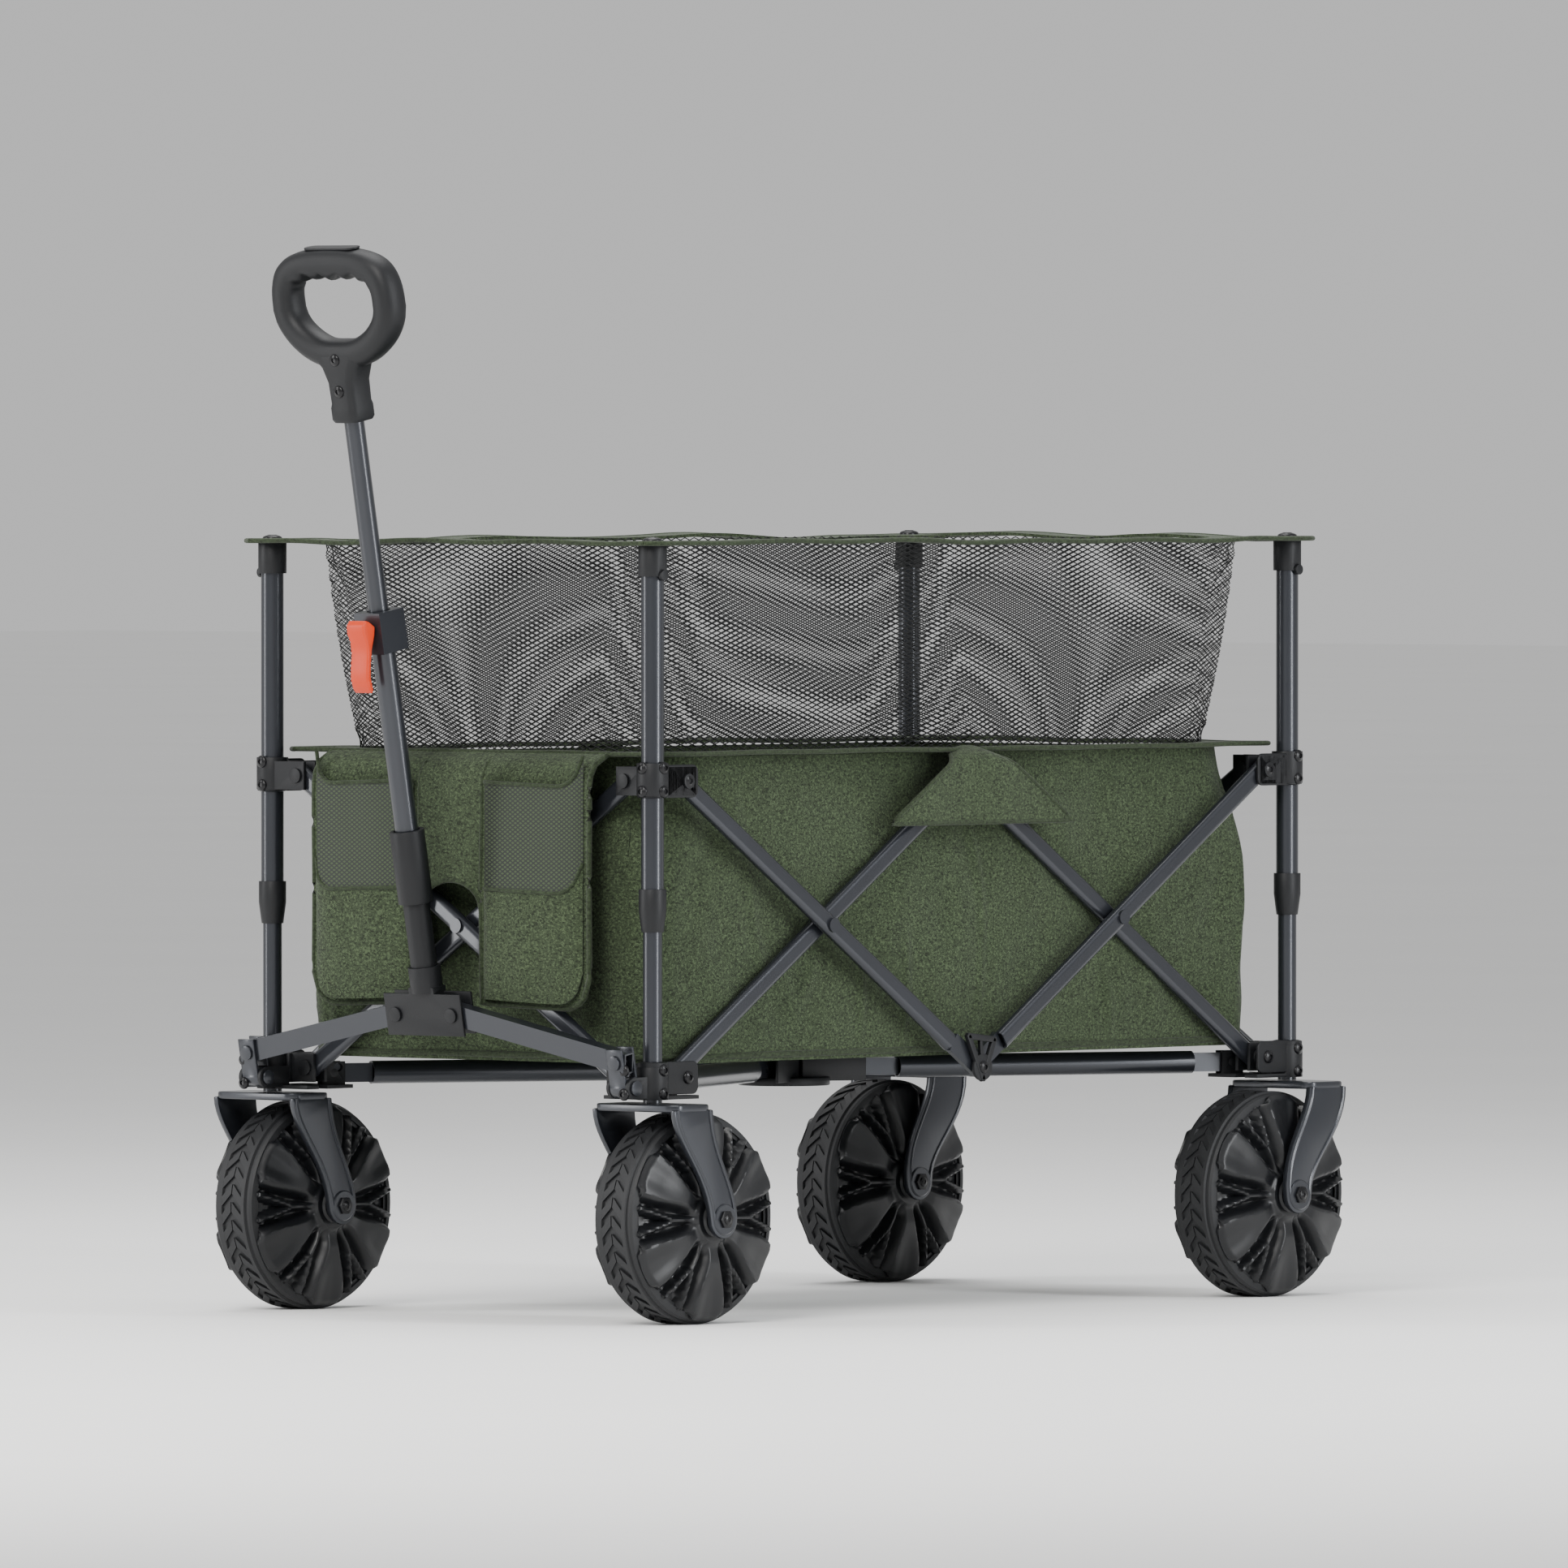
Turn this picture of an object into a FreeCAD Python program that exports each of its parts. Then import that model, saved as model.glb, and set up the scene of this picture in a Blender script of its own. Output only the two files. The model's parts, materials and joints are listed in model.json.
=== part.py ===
"""Folding wagon with a pull handle: scissor frame, swivel wheels, fabric basket and a telescopic handle.

Frame of the model: +Z up, the handle end faces -Y, and the origin is on the floor under the middle of
the whole object. Lengths are in millimetres.
"""
import FreeCAD, Part
import math
import os
import re

import Sketcher

from FreeCAD import Placement, Rotation, Vector

SIZES = {
    # frame
    "post_spacing_x": 492.0,
    "post_spacing_y": 900.0,
    "frame_shift": 67.2325,
    "side_pivot_offset": 38.5,
    "end_pivot_offset": 40.25,
    "lower_pivot_height": 230.6,
    "upper_pivot_height": 507.6,
    # posts
    "lower_post_diameter": 18.0,
    "upper_post_diameter": 21.5,
    "post_wall": 1.2,
    "lower_post_length": 442.5,
    "upper_post_length": 318.0,
    "post_foot_height": 207.5,
    "upper_post_base": 387.0,
    "foot_plug_length": 32.0,
    "collar_diameter": 26.0,
    "collar_tip_diameter": 20.8,
    "collar_half": 20.0,
    "cap_diameter": 27.0,
    "cap_height": 29.0,
    "cap_rise": 23.0,
    # scissor bars
    "bar_width": 19.0,
    "bar_thickness": 11.0,
    "bar_wall": 1.5,
    "bar_plane_gap": 13.0,
    "bar_overhang": 9.0,
    "tongue_length": 44.0,
    "tongue_thickness": 5.3,
    # brackets
    "sleeve_diameter": 30.0,
    "sleeve_height": 30.5,
    "cheek_thickness": 3.5,
    "cheek_height": 27.0,
    "arm_reach": 50.0,
    "base_thickness": 3.5,
    "lug_reach": 11.0,
    "lug_cheek": 3.0,
    # pins and screws
    "pin_diameter": 8.0,
    "head_diameter": 14.0,
    "head_height": 2.4,
    "pin_clearance": 0.2,
    # floor struts
    "strut_diameter": 22.0,
    "strut_wall": 1.5,
    "strut_height": 225.0,
    "strut_hub_radius": 70.0,
    "strut_tongue": 10.0,
    "strut_tip": 6.0,
    "strut_tongue_height": 18.0,
    "strut_tip_height": 16.0,
    "strut_end_run": 40.0,
    "strut_tip_run": 46.0,
    "hub_radius": 44.0,
    "hub_thickness": 8.0,
    "hub_drop": 9.0,
    # wheels and forks
    "wheel_diameter": 198.0,
    "tyre_width": 50.0,
    "tyre_depth": 9.0,
    "wheel_width": 86.0,
    "wheel_hub_diameter": 44.0,
    "axle_diameter": 10.0,
    "axle_trail": 42.0,
    "fork_plate_x": 106.0,
    "fork_plate_y": 54.0,
    "fork_plate_thickness": 7.0,
    "fork_plate_top": 207.0,
    "fork_leg_thickness": 6.0,
    "fork_leg_top_width": 58.0,
    "fork_foot_radius": 18.0,
    "kingpin_diameter": 8.0,
    "kingpin_length": 24.0,
    "nut_diameter": 20.0,
    "nut_height": 6.0,
    # yoke
    "tilt_axis_forward": 30.0,
    "tilt_axis_height": 222.0,
    "handle_lean": 10.5,
    "yoke_outer_x": 238.0,
    "yoke_outer_rise": 25.4,
    "yoke_inner_x": 35.7,
    "yoke_inner_rise": 66.7,
    "yoke_bar_width": 20.0,
    "yoke_bar_thickness": 12.0,
    "clevis_gap": 12.8,
    "clevis_cheek": 2.5,
    "clevis_width": 20.0,
    "clevis_top": 38.0,
    "clevis_eye_width": 20.0,
    "clevis_eye_radius": 9.5,
    "yoke_lug_radius": 10.0,
    "yoke_plate_width": 98.0,
    "yoke_plate_height": 40.0,
    # handle, measured along it from the tilt axis
    "socket_diameter": 31.0,
    "socket_base": 82.5,
    "socket_top": 112.0,
    "handle_lower_diameter": 25.0,
    "handle_lower_top": 240.0,
    "sleeve_low": 173.0,
    "sleeve_high": 242.0,
    "sleeve_outer": 33.0,
    "handle_middle_diameter": 22.0,
    "handle_middle_low": 124.0,
    "handle_middle_high": 448.0,
    "handle_upper_diameter": 19.0,
    "handle_upper_low": 300.0,
    "handle_upper_high": 640.0,
    "handle_wall": 1.2,
    "clamp_low": 413.0,
    "clamp_high": 452.0,
    "clamp_width": 33.0,
    "clamp_depth": 34.0,
    "lever_low": 380.0,
    "lever_high": 440.0,
    "lever_width": 22.0,
    "lever_thickness": 8.0,
    "grip_socket_low": 630.0,
    "grip_loop_low": 683.0,
    "grip_top": 797.0,
    "grip_width": 156.0,
    "grip_neck_width": 44.0,
    "grip_bar": 25.0,
    "grip_thickness": 33.0,
    "running_gap": 0.4,
    "tongue_gap": 0.2,
    "slot_start": 16.0,
    "plate_behind": 9.0,
    "plate_ahead": 54.0,
    "eye_gap": 0.5,
    "post_play": 0.6,
    "cap_play": 0.2,
    "cap_screw_diameter": 10.0,
    "cap_screw_head": 2.5,
    "cap_screw_seat": 1.5,
    "cap_screw_drop": 5.0,
    "bracket_lift": 3.0,
    "hub_hole_diameter": 24.0,
    "axle_play": 0.3,
    "wheel_slope": 8.0,
    "wheel_wall": 7.0,
    "wheel_swell": 6.0,
    "hub_wall": 5.0,
    "wheel_room_edge": 46.0,
    "tyre_shoulder": 6.0,
    "tyre_shoulder_drop": 4.0,
    "clevis_low": 5.0,
    "pin_stand_out": 0.3,
    "yoke_bridge_width": 32.0,
    "yoke_bridge_height": 10.0,
    "lever_gap": 0.5,
    "grip_waist": 0.42,
    "grip_chamfer": 22.0,
    "grip_corner": 16.0,
    "grip_splay": 4.0,
    "grip_window_corner": 8.0,
    "grip_socket_width": 26.4,
    "grip_sill_width": 35.2,
    "grip_sill_height": 22.5,
    "panel_low": 293.0,
    "pocket_drop": 40.0,
    "shell_drop": 30.0,
    # soft parts
    "basket_half_x": 221.0,
    "basket_half_y": 423.0,
    "basket_floor": 238.0,
    "basket_rim": 531.0,
    "mesh_top": 722.0,
    "fabric_thickness": 3.0,
    "floor_thickness": 10.0,
    "panel_half_width": 180.0,
    "panel_forward": 466.0,
    "panel_slot": 80.0,
    "pocket_depth": 9.0,
}

CORNERS = {
    # name: outward sign along X, outward sign along Y
    "near_front": (1, -1),
    "near_rear": (1, 1),
    "far_front": (-1, -1),
    "far_rear": (-1, 1),
}

PAST = 5.0  # how far a cutting tool runs on past the face that it opens
REACH = 20.0  # half the length of a drill that goes right through a fitting

doc = FreeCAD.newDocument("Wagon")
sheet = doc.addObject("Spreadsheet::Sheet", "Sizes")
nodes = []


def size(name):
    """The sheet's value of a named dimension."""
    return SIZES[name]


def fill_sheet():
    """Every driving dimension goes into the sheet under its alias."""
    for row, (alias, amount) in enumerate(SIZES.items(), start=1):
        sheet.set(f"A{row}", alias)
        sheet.set(f"B{row}", str(amount))
        sheet.setAlias(f"B{row}", alias)
    doc.recompute()


def bind(item, **amounts):
    """Set an object's sizes: text is a formula on the sheet's aliases, a number is set as it is."""
    for name, amount in amounts.items():
        if isinstance(amount, str):
            formula = re.sub(r"[a-z][a-z_]+", lambda found: "Sizes." + found.group(), amount)
            item.setExpression(name, formula)
        else:
            setattr(item, name, amount)


def add(kind, name):
    return doc.addObject(kind, name)


def box(name, low, high, place=Placement()):
    """A box between two opposite corners of its own frame."""
    item = add("Part::Box", name)
    bind(item, Length=high[0] - low[0], Width=high[1] - low[1], Height=high[2] - low[2])
    item.Placement = place * Placement(Vector(*low), Rotation())
    return item


def rod(name, diameter, start, end, place=Placement()):
    """A round rod from start to end, its diameter a formula or a number."""
    item = add("Part::Cylinder", name)
    start = Vector(*start)
    along = Vector(*end) - start
    radius = f"({diameter}) / 2" if isinstance(diameter, str) else diameter / 2
    bind(item, Radius=radius, Height=along.Length)
    item.Placement = place * Placement(start, Rotation(Vector(0, 0, 1), along))
    return item


def cone(name, low_diameter, high_diameter, start, end, place=Placement()):
    item = add("Part::Cone", name)
    start = Vector(*start)
    along = Vector(*end) - start
    bind(item, Radius1=low_diameter / 2, Radius2=high_diameter / 2, Height=along.Length)
    item.Placement = place * Placement(start, Rotation(Vector(0, 0, 1), along))
    return item


def fuse(name, pieces):
    if len(pieces) == 1:
        return pieces[0]
    item = add("Part::MultiFuse", name)
    item.Shapes = pieces
    item.Refine = True
    return item


def cut(name, solid, tools):
    item = add("Part::Cut", name)
    item.Base = solid
    item.Tool = fuse(name + "_tools", tools)
    return item


def pipe(name, outer, wall, start, end, place=Placement()):
    """A round tube, open at both ends."""
    start, end = Vector(*start), Vector(*end)
    past = (end - start).normalize() * PAST
    bore = rod(name + "_bore", f"{outer} - 2 * {wall}", start - past, end + past, place)
    return cut(name + "_pipe", rod(name + "_skin", outer, start, end, place), [bore])


def node(name, pieces):
    """A named sub-part: one solid, or several rigid solids that are one bought piece."""
    item = add("Part::Compound", name)
    item.Links = pieces
    item.Label = name
    nodes.append(item)
    return item


def pin(name, place, low, high):
    """A pivot pin along the local Z axis, with a low round head past each end."""
    head = size("head_height")
    shank = rod(name + "_shank", "pin_diameter", (0, 0, low), (0, 0, high), place)
    first = rod(name + "_head", "head_diameter", (0, 0, low - head), (0, 0, low), place)
    second = rod(name + "_tail", "head_diameter", (0, 0, high), (0, 0, high + head), place)
    return fuse(name, [shank, first, second])


def hole(name, place, low, high):
    """The clearance hole that a pivot pin turns in."""
    return rod(name, "pin_diameter + pin_clearance", (0, 0, low), (0, 0, high), place)


def frame_place(x, y, z, rotation=Rotation()):
    """A placement in the frame's own coordinates, whose origin is midway between the four posts."""
    return Placement(Vector(x, y + size("frame_shift"), z), rotation)


def inward(corner):
    """A corner's frame: local X and Y point inward from its post, and Z points up.

    Two of the four corners are mirror images, so boxes are placed by their inward coordinates.
    """
    out_x, out_y = CORNERS[corner]

    def spot(u, v, z):
        return Vector(
            out_x * (size("post_spacing_x") / 2 - u),
            out_y * (size("post_spacing_y") / 2 - v) + size("frame_shift"),
            z,
        )

    return spot


def corner_box(name, corner, low, high):
    """A box between two opposite corners given as inward coordinates."""
    first, second = inward(corner)(*low), inward(corner)(*high)
    lows = [min(first[axis], second[axis]) for axis in range(3)]
    highs = [max(first[axis], second[axis]) for axis in range(3)]
    return box(name, lows, highs)


def corner_rod(name, corner, diameter, low, high):
    return rod(name, diameter, inward(corner)(*low), inward(corner)(*high))


def end_plane(corner, upper):
    """How far inward of the posts the end bar that meets this bracket lies."""
    near = corner.startswith("near")
    return size("bar_plane_gap") if near == upper else 0.0


def bracket_arm(name, corner, side, plane, height):
    """Two cheeks beside a bar's end, the holes' tools and the pivot pin; side arms run along Y."""
    half_gap = size("bar_thickness") / 2 + size("running_gap")
    outer = half_gap + size("cheek_thickness")
    half_height = size("cheek_height") / 2
    reach = size("arm_reach")
    offset = size("side_pivot_offset") if side else size("end_pivot_offset")

    def spot(across, along, z):
        return (plane + across, along, z) if side else (along, plane + across, z)

    cheeks = [
        corner_box(
            f"{name}_cheek{turn}",
            corner,
            spot(low, 0, height - half_height),
            spot(high, reach, height + half_height),
        )
        for turn, (low, high) in enumerate([(-outer, -half_gap), (half_gap, outer)])
    ]
    drill = corner_rod(
        f"{name}_drill", corner, "pin_diameter", spot(-2 * REACH, offset, height), spot(2 * REACH, offset, height)
    )
    head = size("head_height")
    parts = [
        corner_rod(f"{name}_part{turn}", corner, wide, spot(low, offset, height), spot(high, offset, height))
        for turn, (wide, low, high) in enumerate(
            [
                ("pin_diameter", -outer, outer),
                ("head_diameter", -outer - head, -outer),
                ("head_diameter", outer, outer + head),
            ]
        )
    ]
    slot = corner_box(
        f"{name}_slot",
        corner,
        spot(-half_gap, size("slot_start"), height - size("cheek_height")),
        spot(half_gap, reach + PAST, height + size("cheek_height")),
    )
    return cheeks, drill, fuse(f"{name}_pin", parts), slot


def bracket(name, corner, low, height, upper):
    """A moulded bracket on a post with one forked arm along each side of the wagon."""
    high = low + size("sleeve_height")
    side_plane = 0.0 if upper else size("bar_plane_gap")
    post = "upper_post_diameter" if upper else "lower_post_diameter"
    side_cheeks, side_drill, side_pin, side_slot = bracket_arm(f"{name}_side", corner, True, side_plane, height)
    end_cheeks, end_drill, end_pin, end_slot = bracket_arm(
        f"{name}_end", corner, False, end_plane(corner, upper), height
    )
    sleeve = corner_rod(f"{name}_sleeve", corner, "sleeve_diameter", (0, 0, low), (0, 0, high))
    bore = corner_rod(f"{name}_bore", corner, f"{post} + pin_clearance", (0, 0, low - REACH), (0, 0, high + REACH))
    solids = [sleeve, *side_cheeks, *end_cheeks]
    tools = [bore, side_drill, end_drill, side_slot, end_slot]
    pins = [side_pin, end_pin]
    if not upper:
        solids += floor_lug(name, corner, low)
        strut_pin = strut_pivot_pin(name, corner)
        tools.append(strut_pivot_drill(name, corner))
        pins.append(strut_pin)
        if corner.endswith("front"):
            solids += yoke_lugs(name, corner)
            tools.append(yoke_lug_drill(name, corner))
    moulding = cut(f"{name}_moulding", fuse(f"{name}_solid", solids), tools)
    return node(name, [moulding, *pins])


def strut_frame(corner):
    """Frame of a floor strut: origin at its outer pivot, X towards the middle, Y along the pivot."""
    half_run = bar_run() / 2
    out_x, out_y = CORNERS[corner]
    heading = Vector(-out_x, -2 * out_y, 0).normalize()
    across = Vector(0, 0, 1).cross(heading)
    turn = Rotation(heading, across, Vector(0, 0, 1), "ZXY")
    return frame_place(out_x * half_run, out_y * 2 * half_run, size("strut_height"), turn)


def floor_lug(name, corner, low):
    """The foot plate under a bracket's arms and the two cheeks that hold the floor strut."""
    top = low + size("base_thickness")
    near, far = -size("plate_behind"), size("plate_ahead")
    plate = corner_box(f"{name}_plate", corner, (near, near, low), (far, far, top))
    place = strut_frame(corner)
    half = size("strut_tongue") / 2 + size("running_gap")
    wide = half + size("lug_cheek")
    reach = size("lug_reach")
    floor = low - size("strut_height") + 1
    cheeks = [
        box(f"{name}_lug{turn}", (-reach, a, floor), (reach, b, reach), place)
        for turn, (a, b) in enumerate([(-wide, -half), (half, wide)])
    ]
    return [plate, *cheeks]


def strut_pivot_drill(name, corner):
    return rod(f"{name}_strut_drill", "pin_diameter", (0, -REACH, 0), (0, REACH, 0), strut_frame(corner))


def strut_pivot_pin(name, corner):
    half = size("strut_tongue") / 2 + size("running_gap") + size("lug_cheek")
    return rod(f"{name}_strut_pin", "pin_diameter", (0, -half, 0), (0, half, 0), strut_frame(corner))


def tilt_frame(side):
    """Frame of the handle's yoke: X across the wagon, Z up along the leaning handle."""
    lean = Rotation(Vector(1, 0, 0), size("handle_lean"))
    forward = -size("post_spacing_y") / 2 - size("tilt_axis_forward")
    return frame_place(side * size("yoke_outer_x"), forward, size("tilt_axis_height"), lean)


def yoke_lugs(name, corner):
    """Two rounded plates in front of a front bracket, which the handle's clevis tilts between."""
    side = CORNERS[corner][0]
    place = tilt_frame(side)
    place = Placement(place.Base, Rotation())
    inner = size("clevis_eye_width") / 2 + size("eye_gap")
    outer = inner + size("cheek_thickness")
    radius = size("yoke_lug_radius")
    plates = []
    for turn, (a, b) in enumerate([(-outer, -inner), (inner, outer)]):
        eye = rod(f"{name}_eye{turn}", 2 * radius, (a, 0, 0), (b, 0, 0), place)
        web = box(f"{name}_web{turn}", (a, 0, -radius), (b, size("tilt_axis_forward"), radius), place)
        plates += [eye, web]
    return plates


def yoke_lug_drill(name, corner):
    place = Placement(tilt_frame(CORNERS[corner][0]).Base, Rotation())
    return hole_along_x(f"{name}_tilt_drill", place, REACH)


def hole_along_x(name, place, reach):
    return rod(name, "pin_diameter + pin_clearance", (-reach, 0, 0), (reach, 0, 0), place)


def lower_post(corner):
    """The fixed lower tube of a post, with the plug in its foot that takes the kingpin."""
    foot = size("post_foot_height")
    top = foot + size("lower_post_length")
    spot = inward(corner)
    tube = pipe(f"{corner}_lower", "lower_post_diameter", "post_wall", spot(0, 0, foot), spot(0, 0, top))
    plug_top = foot + size("foot_plug_length")
    plug = rod(
        f"{corner}_plug", "lower_post_diameter - 2 * post_wall", spot(0, 0, foot), spot(0, 0, plug_top)
    )
    below, above = spot(0, 0, foot - PAST), spot(0, 0, plug_top + PAST)
    bore = rod(f"{corner}_plug_bore", "kingpin_diameter + post_play", below, above)
    return node(f"{corner}_lower_post", [tube, cut(f"{corner}_foot_plug", plug, [bore])])


def upper_post(corner):
    """The sliding upper tube of a post, which rides up over the lower one as the wagon folds."""
    base = size("upper_post_base")
    spot = inward(corner)
    top = base + size("upper_post_length")
    tube = pipe(f"{corner}_upper", "upper_post_diameter", "post_wall", spot(0, 0, base), spot(0, 0, top))
    return node(f"{corner}_upper_post", [tube])


def post_fittings(corner):
    """The collar under the upper tube, the cap on top of it and the cap's screw."""
    name = f"{corner}_post_fittings"
    spot = inward(corner)
    base = size("upper_post_base")
    half = size("collar_half")
    wide = rod(f"{name}_wide", "collar_diameter", spot(0, 0, base), spot(0, 0, base + half))
    taper = cone(
        f"{name}_taper",
        size("collar_tip_diameter"),
        size("collar_diameter"),
        spot(0, 0, base - half),
        spot(0, 0, base),
    )
    over = rod(
        f"{name}_over", "upper_post_diameter + pin_clearance", spot(0, 0, base), spot(0, 0, base + 2 * half)
    )
    below, above = spot(0, 0, base - 2 * half), spot(0, 0, base + PAST)
    through = rod(f"{name}_through", "lower_post_diameter + post_play", below, above)
    collar = cut(f"{name}_collar", fuse(f"{name}_collar_solid", [wide, taper]), [over, through])
    top = base + size("upper_post_length")
    cap_top = top + size("cap_rise")
    cap_low = cap_top - size("cap_height")
    cap_solid = rod(f"{name}_cap_solid", "cap_diameter", spot(0, 0, cap_low), spot(0, 0, cap_top))
    socket = rod(
        f"{name}_socket", "upper_post_diameter + pin_clearance", spot(0, 0, cap_low - PAST), spot(0, 0, top + size("cap_play"))
    )
    cap = cut(f"{name}_cap", cap_solid, [socket])
    radius = size("cap_diameter") / 2
    head, seat = size("cap_screw_diameter"), size("cap_screw_seat")
    level = top - size("cap_screw_drop")
    tip = -radius - size("cap_screw_head")
    screw = corner_rod(f"{name}_screw", corner, head, (tip, 0, level), (-radius, 0, level))
    flat = corner_rod(f"{name}_flat", corner, head, (-radius, 0, level), (seat - radius, 0, level))
    cap = cut(f"{name}_cap_seat", cap, [flat])
    whole_screw = fuse(
        f"{name}_whole_screw",
        [screw, corner_rod(f"{name}_stem", corner, head, (-radius, 0, level), (seat - radius, 0, level))],
    )
    return node(name, [collar, cap, whole_screw])


def bar_run():
    """Level distance between a bracket's pivot and the middle pivot of its side."""
    return size("post_spacing_y") / 2 - size("side_pivot_offset")


def bar_length():
    rise = size("upper_pivot_height") - size("lower_pivot_height")
    return math.hypot(bar_run(), rise)


def bar_frame(start, end, pivot_axis):
    """Frame of a bar: X from its start pivot to its end pivot, Z along its pivots."""
    along = (end - start).normalize()
    return Placement(start, Rotation(along, pivot_axis.cross(along), pivot_axis, "ZXY"))


def flat_tube(name, place, start, end):
    """A flat-sided oval tube, its section drawn on the body's own YZ plane, with its pivot holes."""
    body = doc.addObject("PartDesign::Body", name)
    planes = {item.Role: item for item in body.Origin.OriginFeatures}
    sketch = body.newObject("Sketcher::SketchObject", f"{name}_section")
    sketch.AttachmentSupport = (planes["YZ_Plane"], [""])
    sketch.MapMode = "FlatFace"
    for inset in (0.0, size("bar_wall")):
        draw_stadium(sketch, size("bar_width") - 2 * inset, size("bar_thickness") - 2 * inset)
    sketch.AttachmentOffset = Placement(Vector(0, 0, start), Rotation())
    pad = body.newObject("PartDesign::Pad", f"{name}_pad")
    pad.Profile = sketch
    pad.Length = end - start
    holes = body.newObject("Sketcher::SketchObject", f"{name}_holes")
    holes.AttachmentSupport = (planes["XY_Plane"], [""])
    holes.MapMode = "FlatFace"
    doc.recompute()
    whole = pad.Shape.Volume
    for at in (0.0, bar_length() / 2, bar_length()):
        if start < at < end:
            radius = (size("pin_diameter") + size("pin_clearance")) / 2
            ring = holes.addGeometry(Part.Circle(Vector(at, 0, 0), Vector(0, 0, 1), radius), False)
            holes.addConstraint(sketcher_radius(ring, radius))
    pocket = body.newObject("PartDesign::Pocket", f"{name}_pivots")
    pocket.Profile = holes
    pocket.Type = "ThroughAll"
    pocket.Midplane = True
    doc.recompute()
    if not pocket.Shape.Volume < whole:
        raise RuntimeError(f"{name}: the pivot holes cut nothing")
    body.Placement = place
    return body


def sketcher_radius(geometry, radius):
    return Sketcher.Constraint("Radius", geometry, radius)


def draw_stadium(sketch, width, thickness):
    """Two flat sides joined by half-round edges, centred on the sketch."""
    radius = thickness / 2
    half = width / 2 - radius
    normal = Vector(0, 0, 1)
    sketch.addGeometry(Part.LineSegment(Vector(-half, -radius, 0), Vector(half, -radius, 0)), False)
    right = Part.Circle(Vector(half, 0, 0), normal, radius)
    sketch.addGeometry(Part.ArcOfCircle(right, -math.pi / 2, math.pi / 2), False)
    sketch.addGeometry(Part.LineSegment(Vector(half, radius, 0), Vector(-half, radius, 0)), False)
    left = Part.Circle(Vector(-half, 0, 0), normal, radius)
    sketch.addGeometry(Part.ArcOfCircle(left, math.pi / 2, 3 * math.pi / 2), False)


def tongue(name, place, side):
    """The half-thick end fitting of a side bar; side is +1 for the half towards local +Z."""
    length = bar_length()
    start = length - size("tongue_length")
    inner = size("tongue_gap")
    low, high = sorted((side * inner, side * (inner + size("tongue_thickness"))))
    radius = size("bar_width") / 2
    flat = box(f"{name}_flat", (start, -radius, low), (length, radius, high), place)
    eye = rod(f"{name}_eye", "bar_width", (length, 0, low), (length, 0, high), place)
    drill = hole(f"{name}_drill", place * Placement(Vector(length, 0, 0), Rotation()), -REACH, REACH)
    return cut(f"{name}_fitting", fuse(f"{name}_blank", [flat, eye]), [drill])


def side_bars(corner):
    """The outer and inner scissor bars that start at one corner and meet the next pair mid-side."""
    out_x, out_y = CORNERS[corner]
    spot = inward(corner)
    offset = size("side_pivot_offset")
    gap = size("bar_plane_gap")
    low, high = size("lower_pivot_height"), size("upper_pivot_height")
    axis = Vector(out_x, 0, 0)
    run = offset + bar_run()
    length = bar_length()
    half = size("bar_thickness") / 2
    outer = bar_frame(spot(0, offset, high), spot(0, run, low), axis)
    inner = bar_frame(spot(gap, offset, low), spot(gap, run, high), axis)
    front = out_y < 0
    side = 1 if front else -1
    for kind, place in (("outer", outer), ("inner", inner)):
        name = f"{corner}_{kind}_bar"
        tube = flat_tube(f"{name}_tube", place, -size("bar_overhang"), length - size("tongue_length"))
        pieces = [tube, tongue(name, place, side)]
        if kind == "outer":
            middle = place * Placement(Vector(length / 2, 0, 0), Rotation())
            pieces.append(pin(f"{name}_mid_pin", middle, -gap - half, half))
        if front:
            end = place * Placement(Vector(length, 0, 0), Rotation())
            pieces.append(pin(f"{name}_end_pin", end, -half, half))
        node(name, pieces)


def end_bars(end, out_y):
    """The two crossing bars between the posts of one end."""
    low, high = size("lower_pivot_height"), size("upper_pivot_height")
    offset = size("end_pivot_offset")
    axis = Vector(0, out_y, 0)
    half = size("bar_thickness") / 2
    gap = size("bar_plane_gap")
    for side, other in (("near", "far"), ("far", "near")):
        plane = end_plane(f"{side}_{end}", False)
        start = inward(f"{side}_{end}")(offset, plane, low)
        finish = inward(f"{other}_{end}")(offset, plane, high)
        place = bar_frame(start, finish, axis)
        name = f"{side}_{end}_end_bar"
        tube = flat_tube(f"{name}_tube", place, -size("bar_overhang"), bar_length() + size("bar_overhang"))
        pieces = [tube]
        if plane == 0.0:
            middle = place * Placement(Vector(bar_length() / 2, 0, 0), Rotation())
            pieces.append(pin(f"{name}_mid_pin", middle, -gap - half, half))
        node(name, pieces)


def strut(corner):
    """A round floor strut with a flattened eye at each end."""
    name = f"{corner}_floor_strut"
    place = strut_frame(corner)
    length = math.hypot(bar_run() / 2, bar_run()) - size("strut_hub_radius")
    first, last = size("strut_end_run"), length - size("strut_tip_run")
    tube = pipe(name, "strut_diameter", "strut_wall", (first, 0, 0), (last, 0, 0), place)
    tongues = []
    ends = (
        ("root", 0.0, first, size("strut_tongue"), size("strut_tongue_height")),
        ("tip", length, last, size("strut_tip"), size("strut_tip_height")),
    )
    for label, pivot, joint, thick, tall in ends:
        low, high = sorted((pivot, joint))
        flat = box(f"{name}_{label}_flat", (low, -thick / 2, -tall / 2), (high, thick / 2, tall / 2), place)
        eye = rod(f"{name}_{label}_eye", tall, (pivot, -thick / 2, 0), (pivot, thick / 2, 0), place)
        drill = rod(f"{name}_{label}_drill", "pin_diameter + pin_clearance", (pivot, -REACH, 0), (pivot, REACH, 0), place)
        tongues.append(cut(f"{name}_{label}", fuse(f"{name}_{label}_blank", [flat, eye]), [drill]))
    return node(name, [tube, *tongues])


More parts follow.
